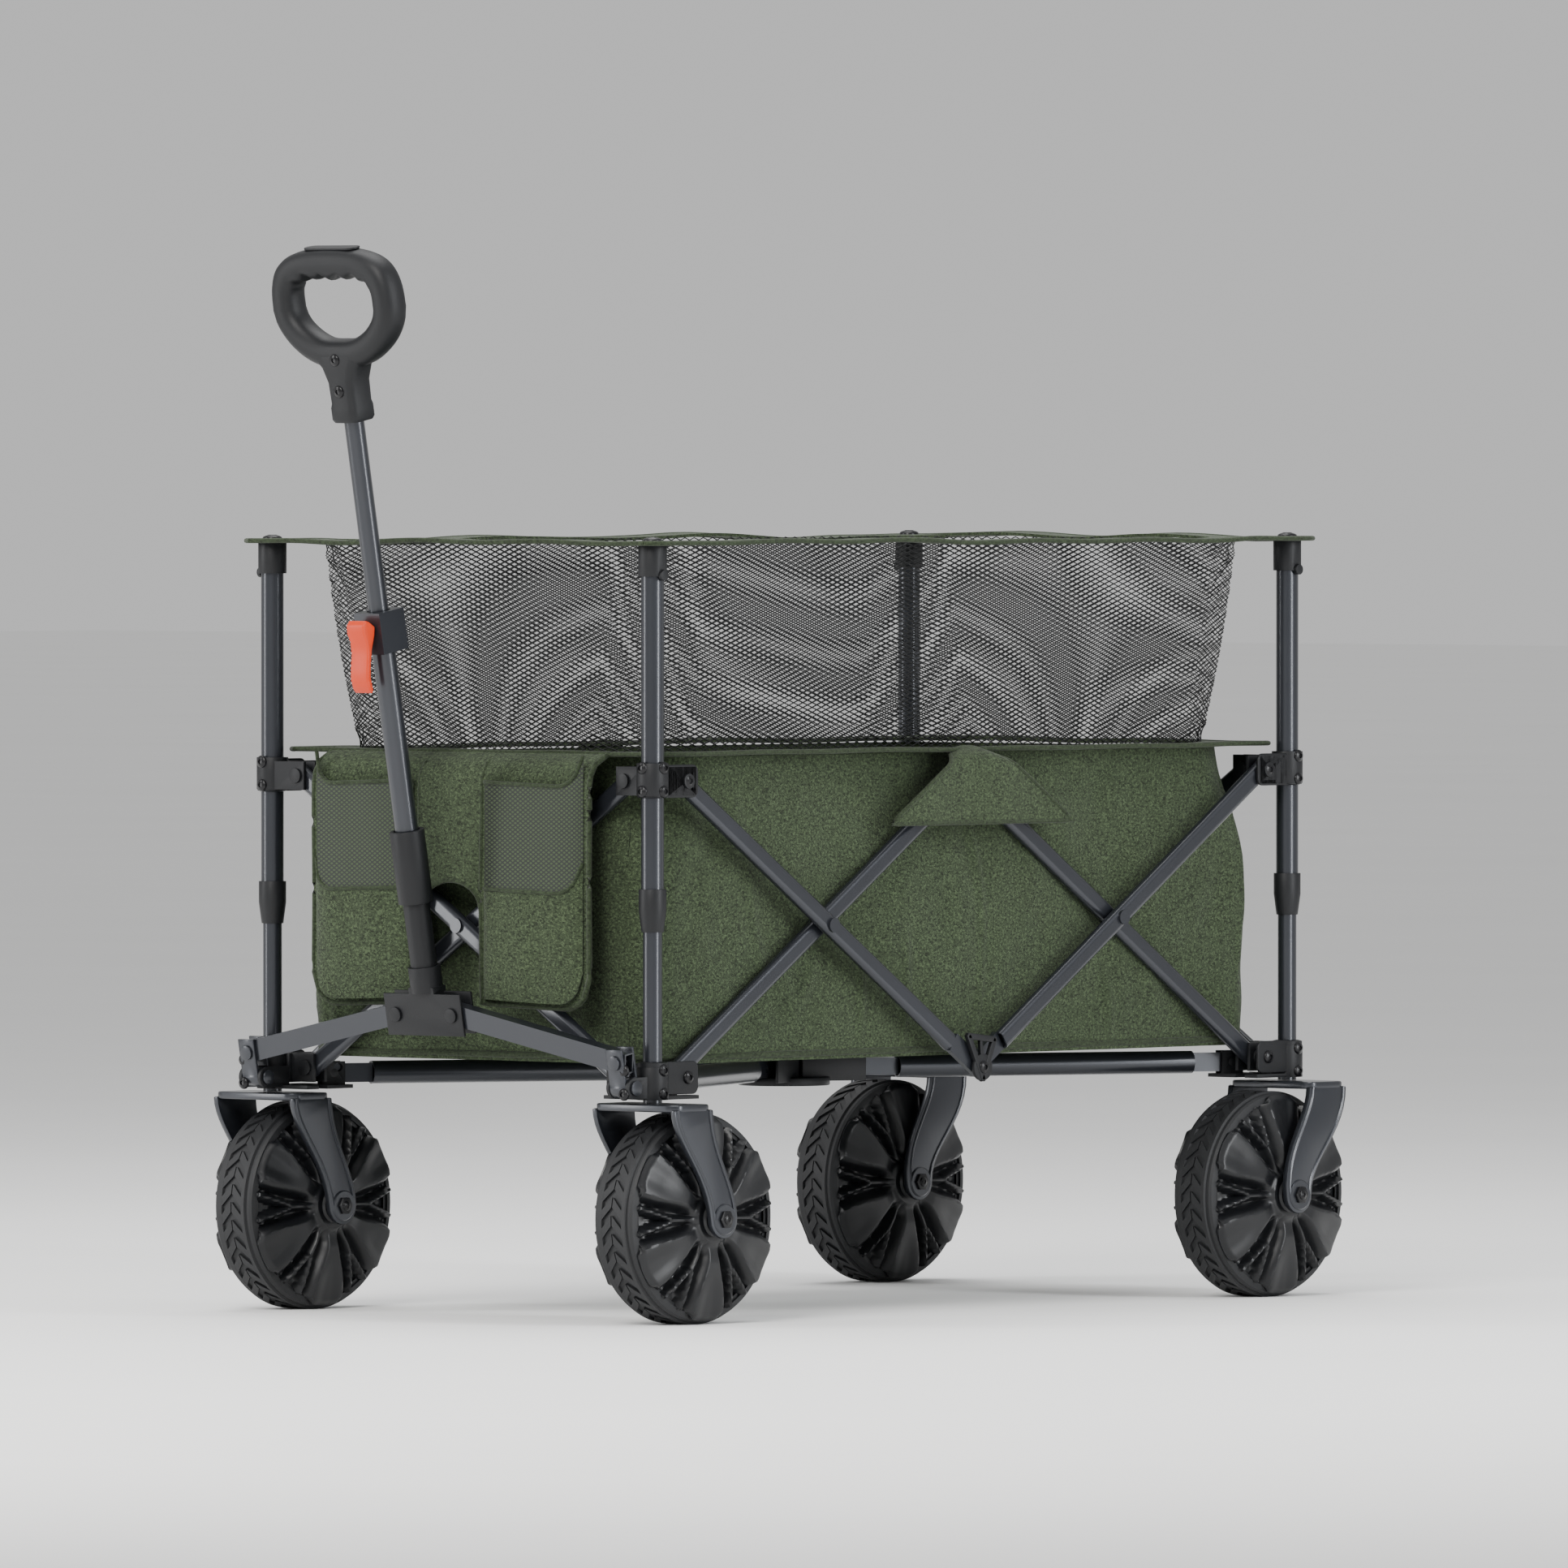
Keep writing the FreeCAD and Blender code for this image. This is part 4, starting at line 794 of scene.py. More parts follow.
def face_height(wheel, r, angle):
    """Relief of a wheel's face: six broad petals, six forked ribs between them, and the hub."""
    reach = wheel.petal_radius
    dome = wheel.face_half_width - wheel.face_fall * (max(r - 0.03, 0.0) / (reach - 0.03)) ** 2
    petal_turn = (angle + math.pi / 6) % (math.pi / 3) - math.pi / 6
    rib_turn = angle % (math.pi / 3) - math.pi / 6
    across, beside = r * math.sin(petal_turn), abs(r * math.sin(rib_turn))
    spread = smooth(r, 0.028, 0.092)
    petal = bar_mask(across, 0.0095 + 0.0150 * spread, 0.0052)
    dish = 0.16 * bar_mask(across, 0.003 + 0.008 * spread, 0.007) * smooth(r, 0.045, 0.075)
    stem = bar_mask(beside, 0.0034, 0.0028) * (1 - smooth(r, 0.056, 0.066))
    fork = bar_mask(beside - 0.30 * max(r - 0.050, 0.0), 0.0033, 0.0028) * smooth(r, 0.048, 0.056)
    hub = 1 - smooth(r, 0.0215, 0.026)
    raised = max(petal - dish, 0.8 * stem, 0.85 * fork, hub)
    depth = wheel.valley * smooth(r, 0.0215, 0.036)
    return dome - depth * (1 - raised) - 0.0022 * (1 - hub) * (1 - smooth(r, 0.026, 0.042))


def wheel_core_mesh(wheel, side):
    """One wheel: two moulded faces whose petals run out over the edge of the tread, joined by a barrel."""
    turns = 252
    radii = [0.006 + (wheel.petal_radius - 0.006) * k / 56 for k in range(57)]
    bm = bmesh.new()
    for flip in (1, -1):
        rings = []
        for r in radii:
            ring = []
            for k in range(turns):
                a = 2 * math.pi * k / turns
                edge = smooth(r, wheel.petal_radius - 0.006, wheel.petal_radius)
                petal_turn = (a + math.pi / 6) % (math.pi / 3) - math.pi / 6
                notch = 0.0045 * (1 - bar_mask(r * math.sin(petal_turn), 0.019, 0.004))
                z = face_height(wheel, r, a) - 0.003 * edge ** 2
                reach = r - notch * edge
                ring.append(bm.verts.new((reach * math.cos(a), flip * reach * math.sin(a), flip * z)))
            rings.append(ring)
        shoulder = [
            bm.verts.new((v.co.x * 0.992, v.co.y * 0.992, flip * (wheel.tyre_half_width - 0.001))) for v in rings[-1]
        ]
        rings.append(shoulder)
        for first, second in zip(rings, rings[1:]):
            for k in range(turns):
                after = (k + 1) % turns
                bm.faces.new((first[k], first[after], second[after], second[k]))
        bm.faces.new(rings[0])
        look = Matrix.Identity(4) if flip > 0 else Matrix.Rotation(math.pi, 4, "X")
        face = wheel.face_half_width
        cap = [(0, face - 0.01), (0.0165, face - 0.01), (0.0165, face + 0.0005), (0.0145, face + 0.0025)]
        cap += [(0.0105, face + 0.003), (0, face + 0.003)]
        bm = merge(bm, turned(cap, look, 40))
    inner, half = wheel.core_radius, wheel.tyre_half_width - 0.002
    bm = merge(bm, turned([(inner - 0.004, -half), (inner, -half), (inner, half), (inner - 0.004, half)], steps=96))
    bm.transform(Matrix.Rotation(math.pi / 2 * side, 4, "Y"))
    return bm


def tyre_mesh(wheel):
    """A tread ring with two smooth shoulders and a belt of raised chevrons between them."""
    outer, inner, half = wheel.tyre_radius, wheel.core_radius - 0.0005, wheel.tyre_half_width
    base = outer - wheel.chevron_height
    profile = [(inner, -half), (base - 0.006, -half), (base - 0.0015, -half + 0.0015), (base, -half + 0.004)]
    profile += [(base, -half + 0.0075), (outer, -half + 0.0085), (outer, -half + 0.0125), (base, -half + 0.0135)]
    mirror = [(r, -z) for r, z in reversed(profile)]
    bm = turned(profile + mirror + [profile[0]], steps=120)
    belt = half - 0.0135
    for turn in range(wheel.chevrons):
        middle = 2 * math.pi * turn / wheel.chevrons
        pitch = 2 * math.pi / wheel.chevrons
        for arm in (1, -1):
            corners = []
            for share in (0.0, 0.5, 1.0):
                lean = pitch * 0.7 * share
                for edge in (-0.3, 0.3):
                    corners.append((middle + lean + edge * pitch * 0.9, arm * (0.0006 + (belt + 0.0004) * share)))
            low = [bm.verts.new(((base - 0.001) * math.cos(a), (base - 0.001) * math.sin(a), z)) for a, z in corners]
            top = [bm.verts.new((outer * math.cos(a), outer * math.sin(a), z)) for a, z in corners]
            for first in (0, 2):
                a, b, c, d = first, first + 1, first + 3, first + 2
                bm.faces.new((top[a], top[b], top[c], top[d]))
                bm.faces.new((low[b], low[c], top[c], top[b]))
                bm.faces.new((low[d], low[a], top[a], top[d]))
            bm.faces.new((low[0], low[1], top[1], top[0]))
            bm.faces.new((low[5], low[4], top[4], top[5]))
    bm.transform(Matrix.Rotation(math.pi / 2, 4, "Y"))
    return bm


def make_wheels(wheel):
    for corner, (side, _) in CORNERS.items():
        centre = joint_spot(f"{corner}_wheel_spin")
        core = mesh_from(wheel_core_mesh(wheel, side), f"{corner}_wheel_form")
        core.transform(Matrix.Translation(centre))
        piece = new_piece(f"{corner}_wheel_form", core, "wheel", f"{corner}_wheel", 30)
        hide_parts(f"{corner}_wheel_core")
        tyre = mesh_from(tyre_mesh(wheel), f"{corner}_tyre_form")
        tyre.transform(Matrix.Translation(centre))
        piece = new_piece(f"{corner}_tyre_form", tyre, "tread", f"{corner}_wheel", 30)
        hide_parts(f"{corner}_tyre")


def bend(points, steps=10):
    """Points along a cubic Bezier with four control points."""
    a, b, c, d = (Vector(p) for p in points)
    out = []
    for step in range(steps + 1):
        t = step / steps
        out.append(a * (1 - t) ** 3 + b * 3 * t * (1 - t) ** 2 + c * 3 * t * t * (1 - t) + d * t ** 3)
    return out


def leg_outline(drop, trail, grow=0.0):
    """A fork leg seen from the side: broad at the crown, waisted, and round about the axle."""
    top_half, foot = 0.0265 + grow, 0.018 + grow
    front = bend([(-top_half, 0), (-top_half, -0.03), (trail - foot - 0.006, -drop + 0.045), (trail - foot, -drop)], 12)
    rear = [(trail + foot, -drop), (trail + foot - 0.001, -drop + 0.035), (top_half + 0.002, -0.045), (top_half, 0)]
    rear = bend(rear, 12)
    under = []
    for step in range(1, 12):
        a = math.pi + math.pi * step / 12
        under.append(Vector((trail + foot * math.cos(a), -drop + foot * math.sin(a))))
    return [(p.x, p.y) for p in front + under + rear]


def make_forks():
    """Each fork: a crown plate, two curved legs with a raised edge, round feet and axle nuts."""
    for corner, (_, end) in CORNERS.items():
        axle = joint_spot(f"{corner}_wheel_spin")
        post = POST[corner]
        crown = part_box(f"{corner}_lower_post")[0].z - 0.0005
        plate_low = crown - 0.007
        body = f"{corner}_caster" if end < 0 else f"{corner}_corner"
        trail, drop = axle.y - post.y, plate_low - axle.z + 0.002
        over = Matrix.Translation((post.x, post.y, 0))
        plate = prism(rounded_outline(0.106, 0.054, 0.012), plate_low, crown, over, 0.0022, 3)
        nuts = bmesh.new()
        for out in (1, -1):
            stand = Matrix.Translation((post.x + out * 0.047, post.y, plate_low + 0.002))
            turn = stand @ Matrix(((0, 0, out, 0), (1, 0, 0, 0), (0, 1, 0, 0), (0, 0, 0, 1)))
            plate = merge(plate, prism(leg_outline(drop, trail), 0.0, 0.0058, turn, 0.0016, 2))
            ridge = [turn @ Vector((x, y, 0.0056)) for x, y in leg_outline(drop, trail, -0.0045)]
            plate = merge(plate, swept(ridge, circle_section(0.0015, 8), ups=[Vector((1, 0, 0))] * len(ridge)))
            foot = facing((post.x + out * 0.0525, axle.y, axle.z), (out, 0, 0))
            boss = [(0, -0.001), (0.0145, -0.001), (0.0145, 0.0012), (0.0135, 0.002), (0, 0.002)]
            plate = merge(plate, turned(boss, foot, 32))
            six = [(0.0088 * math.cos(math.pi / 3 * k), 0.0088 * math.sin(math.pi / 3 * k)) for k in range(6)]
            nuts = merge(nuts, prism(six, 0.001, 0.0045, foot, 0.0008, 2))
            nuts = dome_screw(nuts, foot @ Matrix.Translation((0, 0, 0.0045)), 0.0048, 0.0018)
        fork = new_piece(f"{corner}_fork_form", mesh_from(plate, f"{corner}_fork_form"), "frame", body, 35)
        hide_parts(f"{corner}_fork")
        new_piece(f"{corner}_axle_nuts", mesh_from(nuts, f"{corner}_axle_nuts"), "screw", body, 35)


# ---------------------------------------------------------------- handle


def on_handle(x, along, forward=0.0):
    """A point beside the handle: across, up along it from the tilt pins, and forward of its line."""
    return HANDLE @ Vector((x, -forward, along))


def grip_mesh(handle):
    """The D-shaped grip: an even loop whose upper bar has finger grooves, on a splayed neck."""
    bm = bmesh.new()
    low, high, half = handle.grip_low, handle.grip_high, handle.grip_half_width
    centre = (low + high) / 2
    reach = (high - low) / 2
    rings = []
    steps, sides = 96, 20
    for step in range(steps):
        turn = 2 * math.pi * step / steps
        cx, sx = math.cos(turn), math.sin(turn)
        power = 2 / 3.4
        x = half * math.copysign(abs(cx) ** power, cx)
        s = reach * math.copysign(abs(sx) ** power, sx)
        if s < 0:
            x *= 1 - 0.42 * (-s / reach) ** 1.6
        along = centre + s
        point = Vector((x, along))
        normal = Vector((x / half, (along - centre) / reach)).normalized()
        top = max(0.0, (s / reach - 0.55) / 0.45)
        thick = handle.grip_radius_in * (1 + 0.12 * top)
        ring = []
        for k in range(sides):
            a = 2 * math.pi * k / sides
            ca, sa = math.cos(a), math.sin(a)
            out = thick * math.copysign(abs(ca) ** 0.8, ca)
            deep = handle.grip_radius_out * math.copysign(abs(sa) ** 0.8, sa)
            if ca < 0 and top > 0.3:
                groove = 0.5 - 0.5 * math.cos(2 * math.pi * (x / (half * 1.45) + 0.5) * 4)
                out += 0.0058 * groove * (-ca) * min(1.0, (top - 0.3) * 2.5)
            spot = point + normal * out
            ring.append(bm.verts.new(on_handle(spot.x, spot.y, deep)))
        rings.append(ring)
    for at in range(steps):
        first, second = rings[at], rings[(at + 1) % steps]
        for k in range(sides):
            bm.faces.new((first[k], first[(k + 1) % sides], second[(k + 1) % sides], second[k]))
    neck = [
        (low - 0.064, 0.0155, 0.0145), (low - 0.061, 0.0172, 0.0162), (low - 0.05, 0.0172, 0.0162),
        (low - 0.046, 0.0162, 0.0152), (low - 0.026, 0.0168, 0.0155), (low - 0.012, 0.023, 0.0158),
        (low + 0.001, 0.036, 0.0155), (low + 0.008, 0.040, 0.0140),
    ]
    rings = []
    for along, wide, deep in neck:
        ring = []
        for k in range(24):
            a = 2 * math.pi * k / 24
            x = wide * math.copysign(abs(math.cos(a)) ** 0.5, math.cos(a))
            y = deep * math.copysign(abs(math.sin(a)) ** 0.5, math.sin(a))
            ring.append(bm.verts.new(on_handle(x, along, y)))
        rings.append(ring)
    for first, second in zip(rings, rings[1:]):
        for k in range(24):
            bm.faces.new((first[k], first[(k + 1) % 24], second[(k + 1) % 24], second[k]))
    bm.faces.new(list(reversed(rings[0])))
    bm.faces.new(rings[-1])
    return bm


def make_grip(handle):
    grip = new_piece("grip_form", mesh_from(grip_mesh(handle), "grip_form"), "grip", "handle_top", 50)
    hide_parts("handle_grip")
    cap = bmesh.new()
    top = handle.grip_high + handle.grip_radius_in * 1.12 - 0.0015
    look = HANDLE @ Matrix.Translation((0, 0, top))
    cap = merge(cap, prism(rounded_outline(0.066, 0.016, 0.0079, 8), 0.0, 0.0022, look, 0.0008, 2))
    screws = bmesh.new()
    for along in (handle.grip_low - 0.004, handle.grip_low - 0.034):
        for out in (1, -1):
            place = facing(on_handle(0, along, out * 0.0152), HANDLE.to_3x3() @ Vector((0, -out, 0)))
            screws = dome_screw(screws, place, 0.0058, 0.0024)
    new_piece("grip_cap", mesh_from(cap, "grip_cap"), "bracket", "handle_top", 40)
    new_piece("grip_screws", mesh_from(screws, "grip_screws"), "screw", "handle_top", 40)


def make_lever():
    """The clamp lever: a short blade with a raised tip, on the clamp's eye."""
    low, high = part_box("clamp_lever")
    size = high - low
    eye = joint_spot("clamp_lever_flip")
    into = HANDLE.inverted()
    eye_along, eye_deep = (into @ eye).z, -(into @ eye).y
    blade = [
        (0.006, 0.004), (0.008, 0.0085), (0.004, 0.013), (-0.004, 0.0135), (-0.012, 0.0108), (-0.024, 0.0112),
        (-0.036, 0.0145), (-0.047, 0.0165), (-0.056, 0.0150), (-0.061, 0.0118), (-0.058, 0.0095), (-0.046, 0.0108),
        (-0.034, 0.0085), (-0.02, 0.0045), (-0.008, -0.001), (0.0, -0.003),
    ]
    swing = [(eye_along + s, eye_deep + d) for s, d in blade]
    width = min(size.x, 0.028)
    place = HANDLE @ Matrix(((0, 0, 1, -width / 2), (0, -1, 0, 0), (1, 0, 0, 0), (0, 0, 0, 1)))
    bm = prism(swing, 0.0, width, place, 0.0016, 3)
    mesh = mesh_from(bm, "lever_form")
    piece = new_piece("lever_form", mesh, "lever", "lever", 45)
    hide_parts("clamp_lever")


PLASTIC_PARTS = ("lower_bracket", "upper_bracket", "post_fittings")
METAL_PARTS = {"near_yoke_clevis": "near_clevis", "far_yoke_clevis": "far_clevis"}


def body_holding(node):
    return next(body for body, nodes in frame["record"]["behaviour"]["bodies"].items() if node in nodes)


def make_brackets(moulding):
    """The moulded brackets, collars and caps on the four posts, their edges rounded, with domed screws."""
    for corner, (side, end) in CORNERS.items():
        for part in PLASTIC_PARTS:
            node = f"{corner}_{part}"
            rounded_copy(node, body_holding(node), "bracket", moulding.edge)
        for label, suffix in (("lower", "lower_bracket"), ("upper", "upper_bracket")):
            low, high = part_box(f"{corner}_{suffix}")
            screws = bmesh.new()
            height = (low.z + high.z) / 2
            outer = max(abs(low.x), abs(high.x)) * side
            for lift in (-0.011, 0.011):
                seat = facing((outer - side * 0.0008, POST[corner].y, height + lift), (side, 0, 0))
                screws = dome_screw(screws, seat, 0.0058, 0.003)
            far = high.y if end > 0 else low.y
            for lift in (-0.011, 0.011):
                seat = facing((POST[corner].x, far - end * 0.0008, height + lift), (0, end, 0))
                screws = dome_screw(screws, seat, 0.0058, 0.003)
            name = f"{corner}_{label}_screws"
            new_piece(name, mesh_from(screws, name), "screw", body_holding(f"{corner}_{suffix}"), 40)


def make_bracket_plates(moulding):
    """The outer cheek of each bracket: a plate that wraps the post and covers the ends of the bars, with its screws."""
    for corner, (side, end) in CORNERS.items():
        for label, suffix, joint_z in (("lower", "lower_bracket", "fold"), ("upper", "upper_bracket", "near_top_centre")):
            height = joint_spot(joint_z).z
            body = body_holding(f"{corner}_{suffix}")
            bm, screws = bmesh.new(), bmesh.new()
            centre = Vector((POST[corner].x, POST[corner].y, height))
            face = moulding.cheek_out
            along = Matrix(((0, 0, side, 0), (-end, 0, 0, 0), (0, 1, 0, 0), (0, 0, 0, 1)))
            outline = rounded_outline(moulding.cheek_reach + 0.012, moulding.cheek_height, 0.007, 5)
            middle = (moulding.cheek_reach - 0.012) / 2
            shift = Matrix.Translation(centre) @ along @ Matrix.Translation((middle, 0, face))
            bm = merge(bm, prism(outline, 0.0, 0.0032, shift, 0.0012, 3))
            seat = Matrix.Translation(centre) @ along @ Matrix.Translation((moulding.pivot_reach, 0, face + 0.0032))
            screws = dome_screw(screws, seat, 0.0062, 0.0034)
            band = [(0.0112, -moulding.cheek_height / 2), (0.0142, -moulding.cheek_height / 2 + 0.001)]
            band += [(0.0146, moulding.cheek_height / 2 - 0.001), (0.0112, moulding.cheek_height / 2)]
            bm = merge(bm, turned(band + [band[0]], Matrix.Translation(centre), 32))
            name = f"{corner}_{label}_cheek"
            new_piece(name, mesh_from(bm, name), "bracket", body, 40)
            name = f"{corner}_{label}_pivot_screw"
            new_piece(name, mesh_from(screws, name), "screw", body, 40)


def make_webs():
    """The pierced triangular plates at the bottom middle joint of each side."""
    for name, side in (("near", 1), ("far", -1)):
        pivot = Vector((side * (HALF_X + 0.0068), MID_Y, joint_spot("fold").z))
        corners = [(0.0, -0.011), (0.016, 0.026), (-0.020, 0.030)]
        bm = bmesh.new()
        look = Matrix.Translation(pivot) @ Matrix(((0, 0, side, 0), (1, 0, 0, 0), (0, 1, 0, 0), (0, 0, 0, 1)))
        disc = [(0.013 * math.cos(math.pi / 12 * k), 0.013 * math.sin(math.pi / 12 * k)) for k in range(24)]
        bm = merge(bm, prism(disc, 0.0, 0.004, look, 0.0012, 2))
        for first, second in ((0, 1), (1, 2), (2, 0)):
            a, b = Vector(corners[first]), Vector(corners[second])
            run = (b - a).normalized()
            cross = Vector((-run.y, run.x)) * 0.003
            strip = [a - run * 0.002 + cross, b + run * 0.002 + cross, b + run * 0.002 - cross, a - run * 0.002 - cross]
            bm = merge(bm, prism([(p.x, p.y) for p in strip], 0.0, 0.0046, look, 0.0012, 2))
        half = [(-0.0025, 0.0), (-0.0045, 0.028), (-0.0005, 0.028), (0.0015, 0.0)]
        bm = merge(bm, prism(half, 0.0, 0.0036, look, 0.0008, 2))
        label = f"{name}_bottom_web"
        body = body_holding(f"{name}_front_outer_bar")
        new_piece(label, mesh_from(bm, label), "bracket", body, 40)
        screw = dome_screw(bmesh.new(), look @ Matrix.Translation((0, 0, 0.004)), 0.0058, 0.003)
        new_piece(f"{label}_screw", mesh_from(screw, f"{label}_screw"), "screw", body, 40)


def make_hub_sockets(moulding):
    """The floor hub's four open sockets, each an inverted trough over the end of a strut."""
    bm = bmesh.new()
    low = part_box("floor_hub")[1].z
    for corner in CORNERS:
        foot = box_centre(f"{corner}_floor_strut")
        turn = math.atan2(foot.y - MID_Y, foot.x)
        look = Matrix.Translation((0, MID_Y, 0)) @ Matrix.Rotation(turn, 4, "Z")
        roof = [(0.012, -0.0185), (0.078, -0.0165), (0.078, 0.0165), (0.012, 0.0185)]
        bm = merge(bm, prism(roof, moulding.socket_top - 0.004, moulding.socket_top, look, 0.0012, 2))
        for out in (1, -1):
            cheek = [(0.012, out * 0.0155), (0.078, out * 0.0135), (0.078, out * 0.0165), (0.012, out * 0.0185)]
            bm = merge(bm, prism(cheek, low - 0.004, moulding.socket_top - 0.002, look, 0.001, 2))
    mesh = mesh_from(bm, "floor_hub_sockets")
    new_piece("floor_hub_sockets", mesh, "bracket", body_holding("floor_hub"), 40)


def make_yoke(moulding):
    """The clevises, the hub with its sleeve, and the clamp, with rounded edges."""
    for node, body in METAL_PARTS.items():
        rounded_copy(node, body, "frame", moulding.edge * 0.7)
    rounded_copy("yoke_hub", "yoke", "bracket", moulding.edge)
    rounded_copy("floor_hub", body_holding("floor_hub"), "bracket", moulding.edge)


def refinish_frame():
    """Every frame piece that stays as it was built gets its paint or moulded finish."""
    slot_finish = {"frame_metal": "frame", "dark_plastic": "bracket", "wheel_plastic": "wheel", "tread": "tread",
                   "olive_fabric": "cloth", "lever_orange": "lever"}
    for node in frame["nodes"].values():
        for place in node.material_slots:
            base = place.material.name.split(".")[0] if place.material else "frame_metal"
            place.material = finish_of(slot_finish.get(base, "frame"))


# ---------------------------------------------------------------- stage


def make_stage(stage):
    scene = bpy.context.scene
    span = stage.floor_span
    bm = bmesh.new()
    corners = [bm.verts.new((x * span, y * span, 0)) for x, y in ((-1, -1), (1, -1), (1, 1), (-1, 1))]
    bm.faces.new(corners)
    mesh = mesh_from(bm, "stage_floor")
    floor = bpy.data.objects.new("stage_floor", mesh)
    scene.collection.objects.link(floor)
    shader = Shader("pale floor")
    cloud = shader.noise(1.5, 3.0)
    tint = shader.mix(cloud, rgb(stage.floor_colour, 0.97), rgb(stage.floor_colour, 1.03))
    shader.set(Base_Color=tint, Roughness=0.85)
    mesh.materials.append(shader.material)
    middle = Vector((0, MID_Y, 0.45))
    for name, spot, size, power, colour in (
        ("key", (1.2, -3.4, 3.0), (1.6, 2.2), stage.key_power, (1.0, 0.985, 0.96)),
        ("side", (4.0, 0.6, 1.5), (0.7, 3.2), stage.key_power * 0.8, (0.96, 0.98, 1.0)),
        ("edge", (-2.6, -3.2, 1.6), (0.6, 3.2), stage.key_power * 0.5, (1.0, 1.0, 1.0)),
        ("top", (-0.6, 0.4, 4.0), (2.4, 3.0), stage.key_power * 0.7, (1.0, 1.0, 1.0)),
    ):
        light = bpy.data.lights.new(name, "AREA")
        light.shape, light.energy, light.color = "RECTANGLE", power, colour
        light.size, light.size_y = size
        lamp = bpy.data.objects.new(f"{name}_light", light)
        lamp.matrix_world = facing(spot, Vector(spot) - middle)
        scene.collection.objects.link(lamp)
    world = bpy.data.worlds.new("studio")
    world.use_nodes = True
    back = next(n for n in world.node_tree.nodes if n.type == "BACKGROUND")
    back.inputs["Color"].default_value = rgb(stage.sky_colour)
    back.inputs["Strength"].default_value = stage.sky_strength
    scene.world = world
    view = bpy.data.cameras.new("view")
    view.lens, view.sensor_width = stage.lens, 36.0
    view.clip_end = 100.0
    camera = bpy.data.objects.new("view_camera", view)
    aim = Vector((0, MID_Y, stage.aim_height))
    turn = stage.azimuth
    spot = Vector((math.sin(turn), -math.cos(turn), 0)) * stage.distance + Vector((0, MID_Y, stage.eye_height))
    camera.matrix_world = Matrix.Translation(spot) @ (spot - aim).to_track_quat("Z", "Y").to_matrix().to_4x4()
    scene.collection.objects.link(camera)
    scene.camera = camera


# ---------------------------------------------------------------- settings


def length(name, text, default):
    return FloatProperty(name=name, description=text, default=default, unit="LENGTH", subtype="DISTANCE", precision=4)


def colour(name, text, default):
    return FloatVectorProperty(name=name, description=text, default=default, size=3, min=0, max=1, subtype="COLOR")


class WagonLooks(bpy.types.PropertyGroup):
    """Colours of the finishes."""

    frame_colour: colour("Frame", "Powder coat on the posts, bars and tubes", (0.023, 0.0255, 0.032))
    bracket_colour: colour("Brackets", "Moulded brackets, collars and grip", (0.0055, 0.0060, 0.0072))
    wheel_colour: colour("Wheels", "Wheel cores and treads", (0.0045, 0.0050, 0.0062))
    lever_colour: colour("Lever", "The clamp lever", (0.52, 0.035, 0.004))
    cloth_colour: colour("Cloth", "Heathered cloth of the tub", (0.0270, 0.0385, 0.0190))


class WagonCloth(bpy.types.PropertyGroup):
    """Sizes of the tub, net, tapes and pocket panel."""

    half_x: length("Half width", "From the middle to the tub's side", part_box("basket")[1].x - 0.0005)
    half_y: length("Half length", "From the middle to the tub's end", (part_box("basket")[1].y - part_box("basket")[0].y) / 2)
    corner: length("Corner radius", "Radius of the tub's corners", 0.026)
    thickness: length("Thickness", "Thickness of the tub's cloth", 0.0026)
    belly: length("Belly", "How far a panel hangs out of its plane", 0.004)
    fold_depth: length("Fold depth", "How deep the slack folds are", 0.0075)
    top_z: length("Top", "Height of the top tape", SHELF_Z)
    net_top_x: length("Net top half width", "Half the net's width at the top tape", HALF_X - 0.020)
    net_top_y: length("Net top half length", "Half the net's length at the top tape", HALF_Y - 0.020)
    net_top_corner: length("Net top corner", "Radius of the net's corners at the top", 0.05)
    net_low_x: length("Net low half width", "Half the net's width at the rim", HALF_X - 0.0335)
    net_low_y: length("Net low half length", "Half the net's length at the rim", HALF_Y - 0.0365)
    net_low_corner: length("Net low corner", "Radius of the net's corners at the rim", 0.08)
    rim_corner: length("Rim corner", "Radius of the tub's corners at the rim", 0.072)
    rim_inset: length("Rim inset", "How far the tub is drawn in at the rim", 0.004)
    overhang: length("Overhang", "How far the top tape stands out past the middle of a post", 0.021)
    tape_thickness: length("Tape thickness", "Thickness of the flat tapes", 0.003)
    tape_wave: length("Tape wave", "How far the tapes wave up and down between the posts", 0.006)
    mesh_width: length("Diamond width", "Width of one diamond of the net", 0.012)
    mesh_height: length("Diamond height", "Height of one diamond of the net", 0.0047)
    cord: length("Cord", "Thickness of the net's cords", 0.00115)
    flap_half: length("Flap half width", "Half the width of the joint flap", 0.127)
    flap_drop: length("Flap drop", "Height of the joint flap", 0.072)
    panel_low: length("Panel low", "Lower edge of the pocket panel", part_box("pocket_panel")[0].z)
    panel_forward: length("Panel forward", "From the middle to the pocket panel", MID_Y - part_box("pocket_panel")[0].y - 0.0115)
    pocket_top: length("Pocket top", "Upper edge of the pockets", 0.497)
    arch_top: length("Arch top", "Top of the slot between the pockets", 0.412)


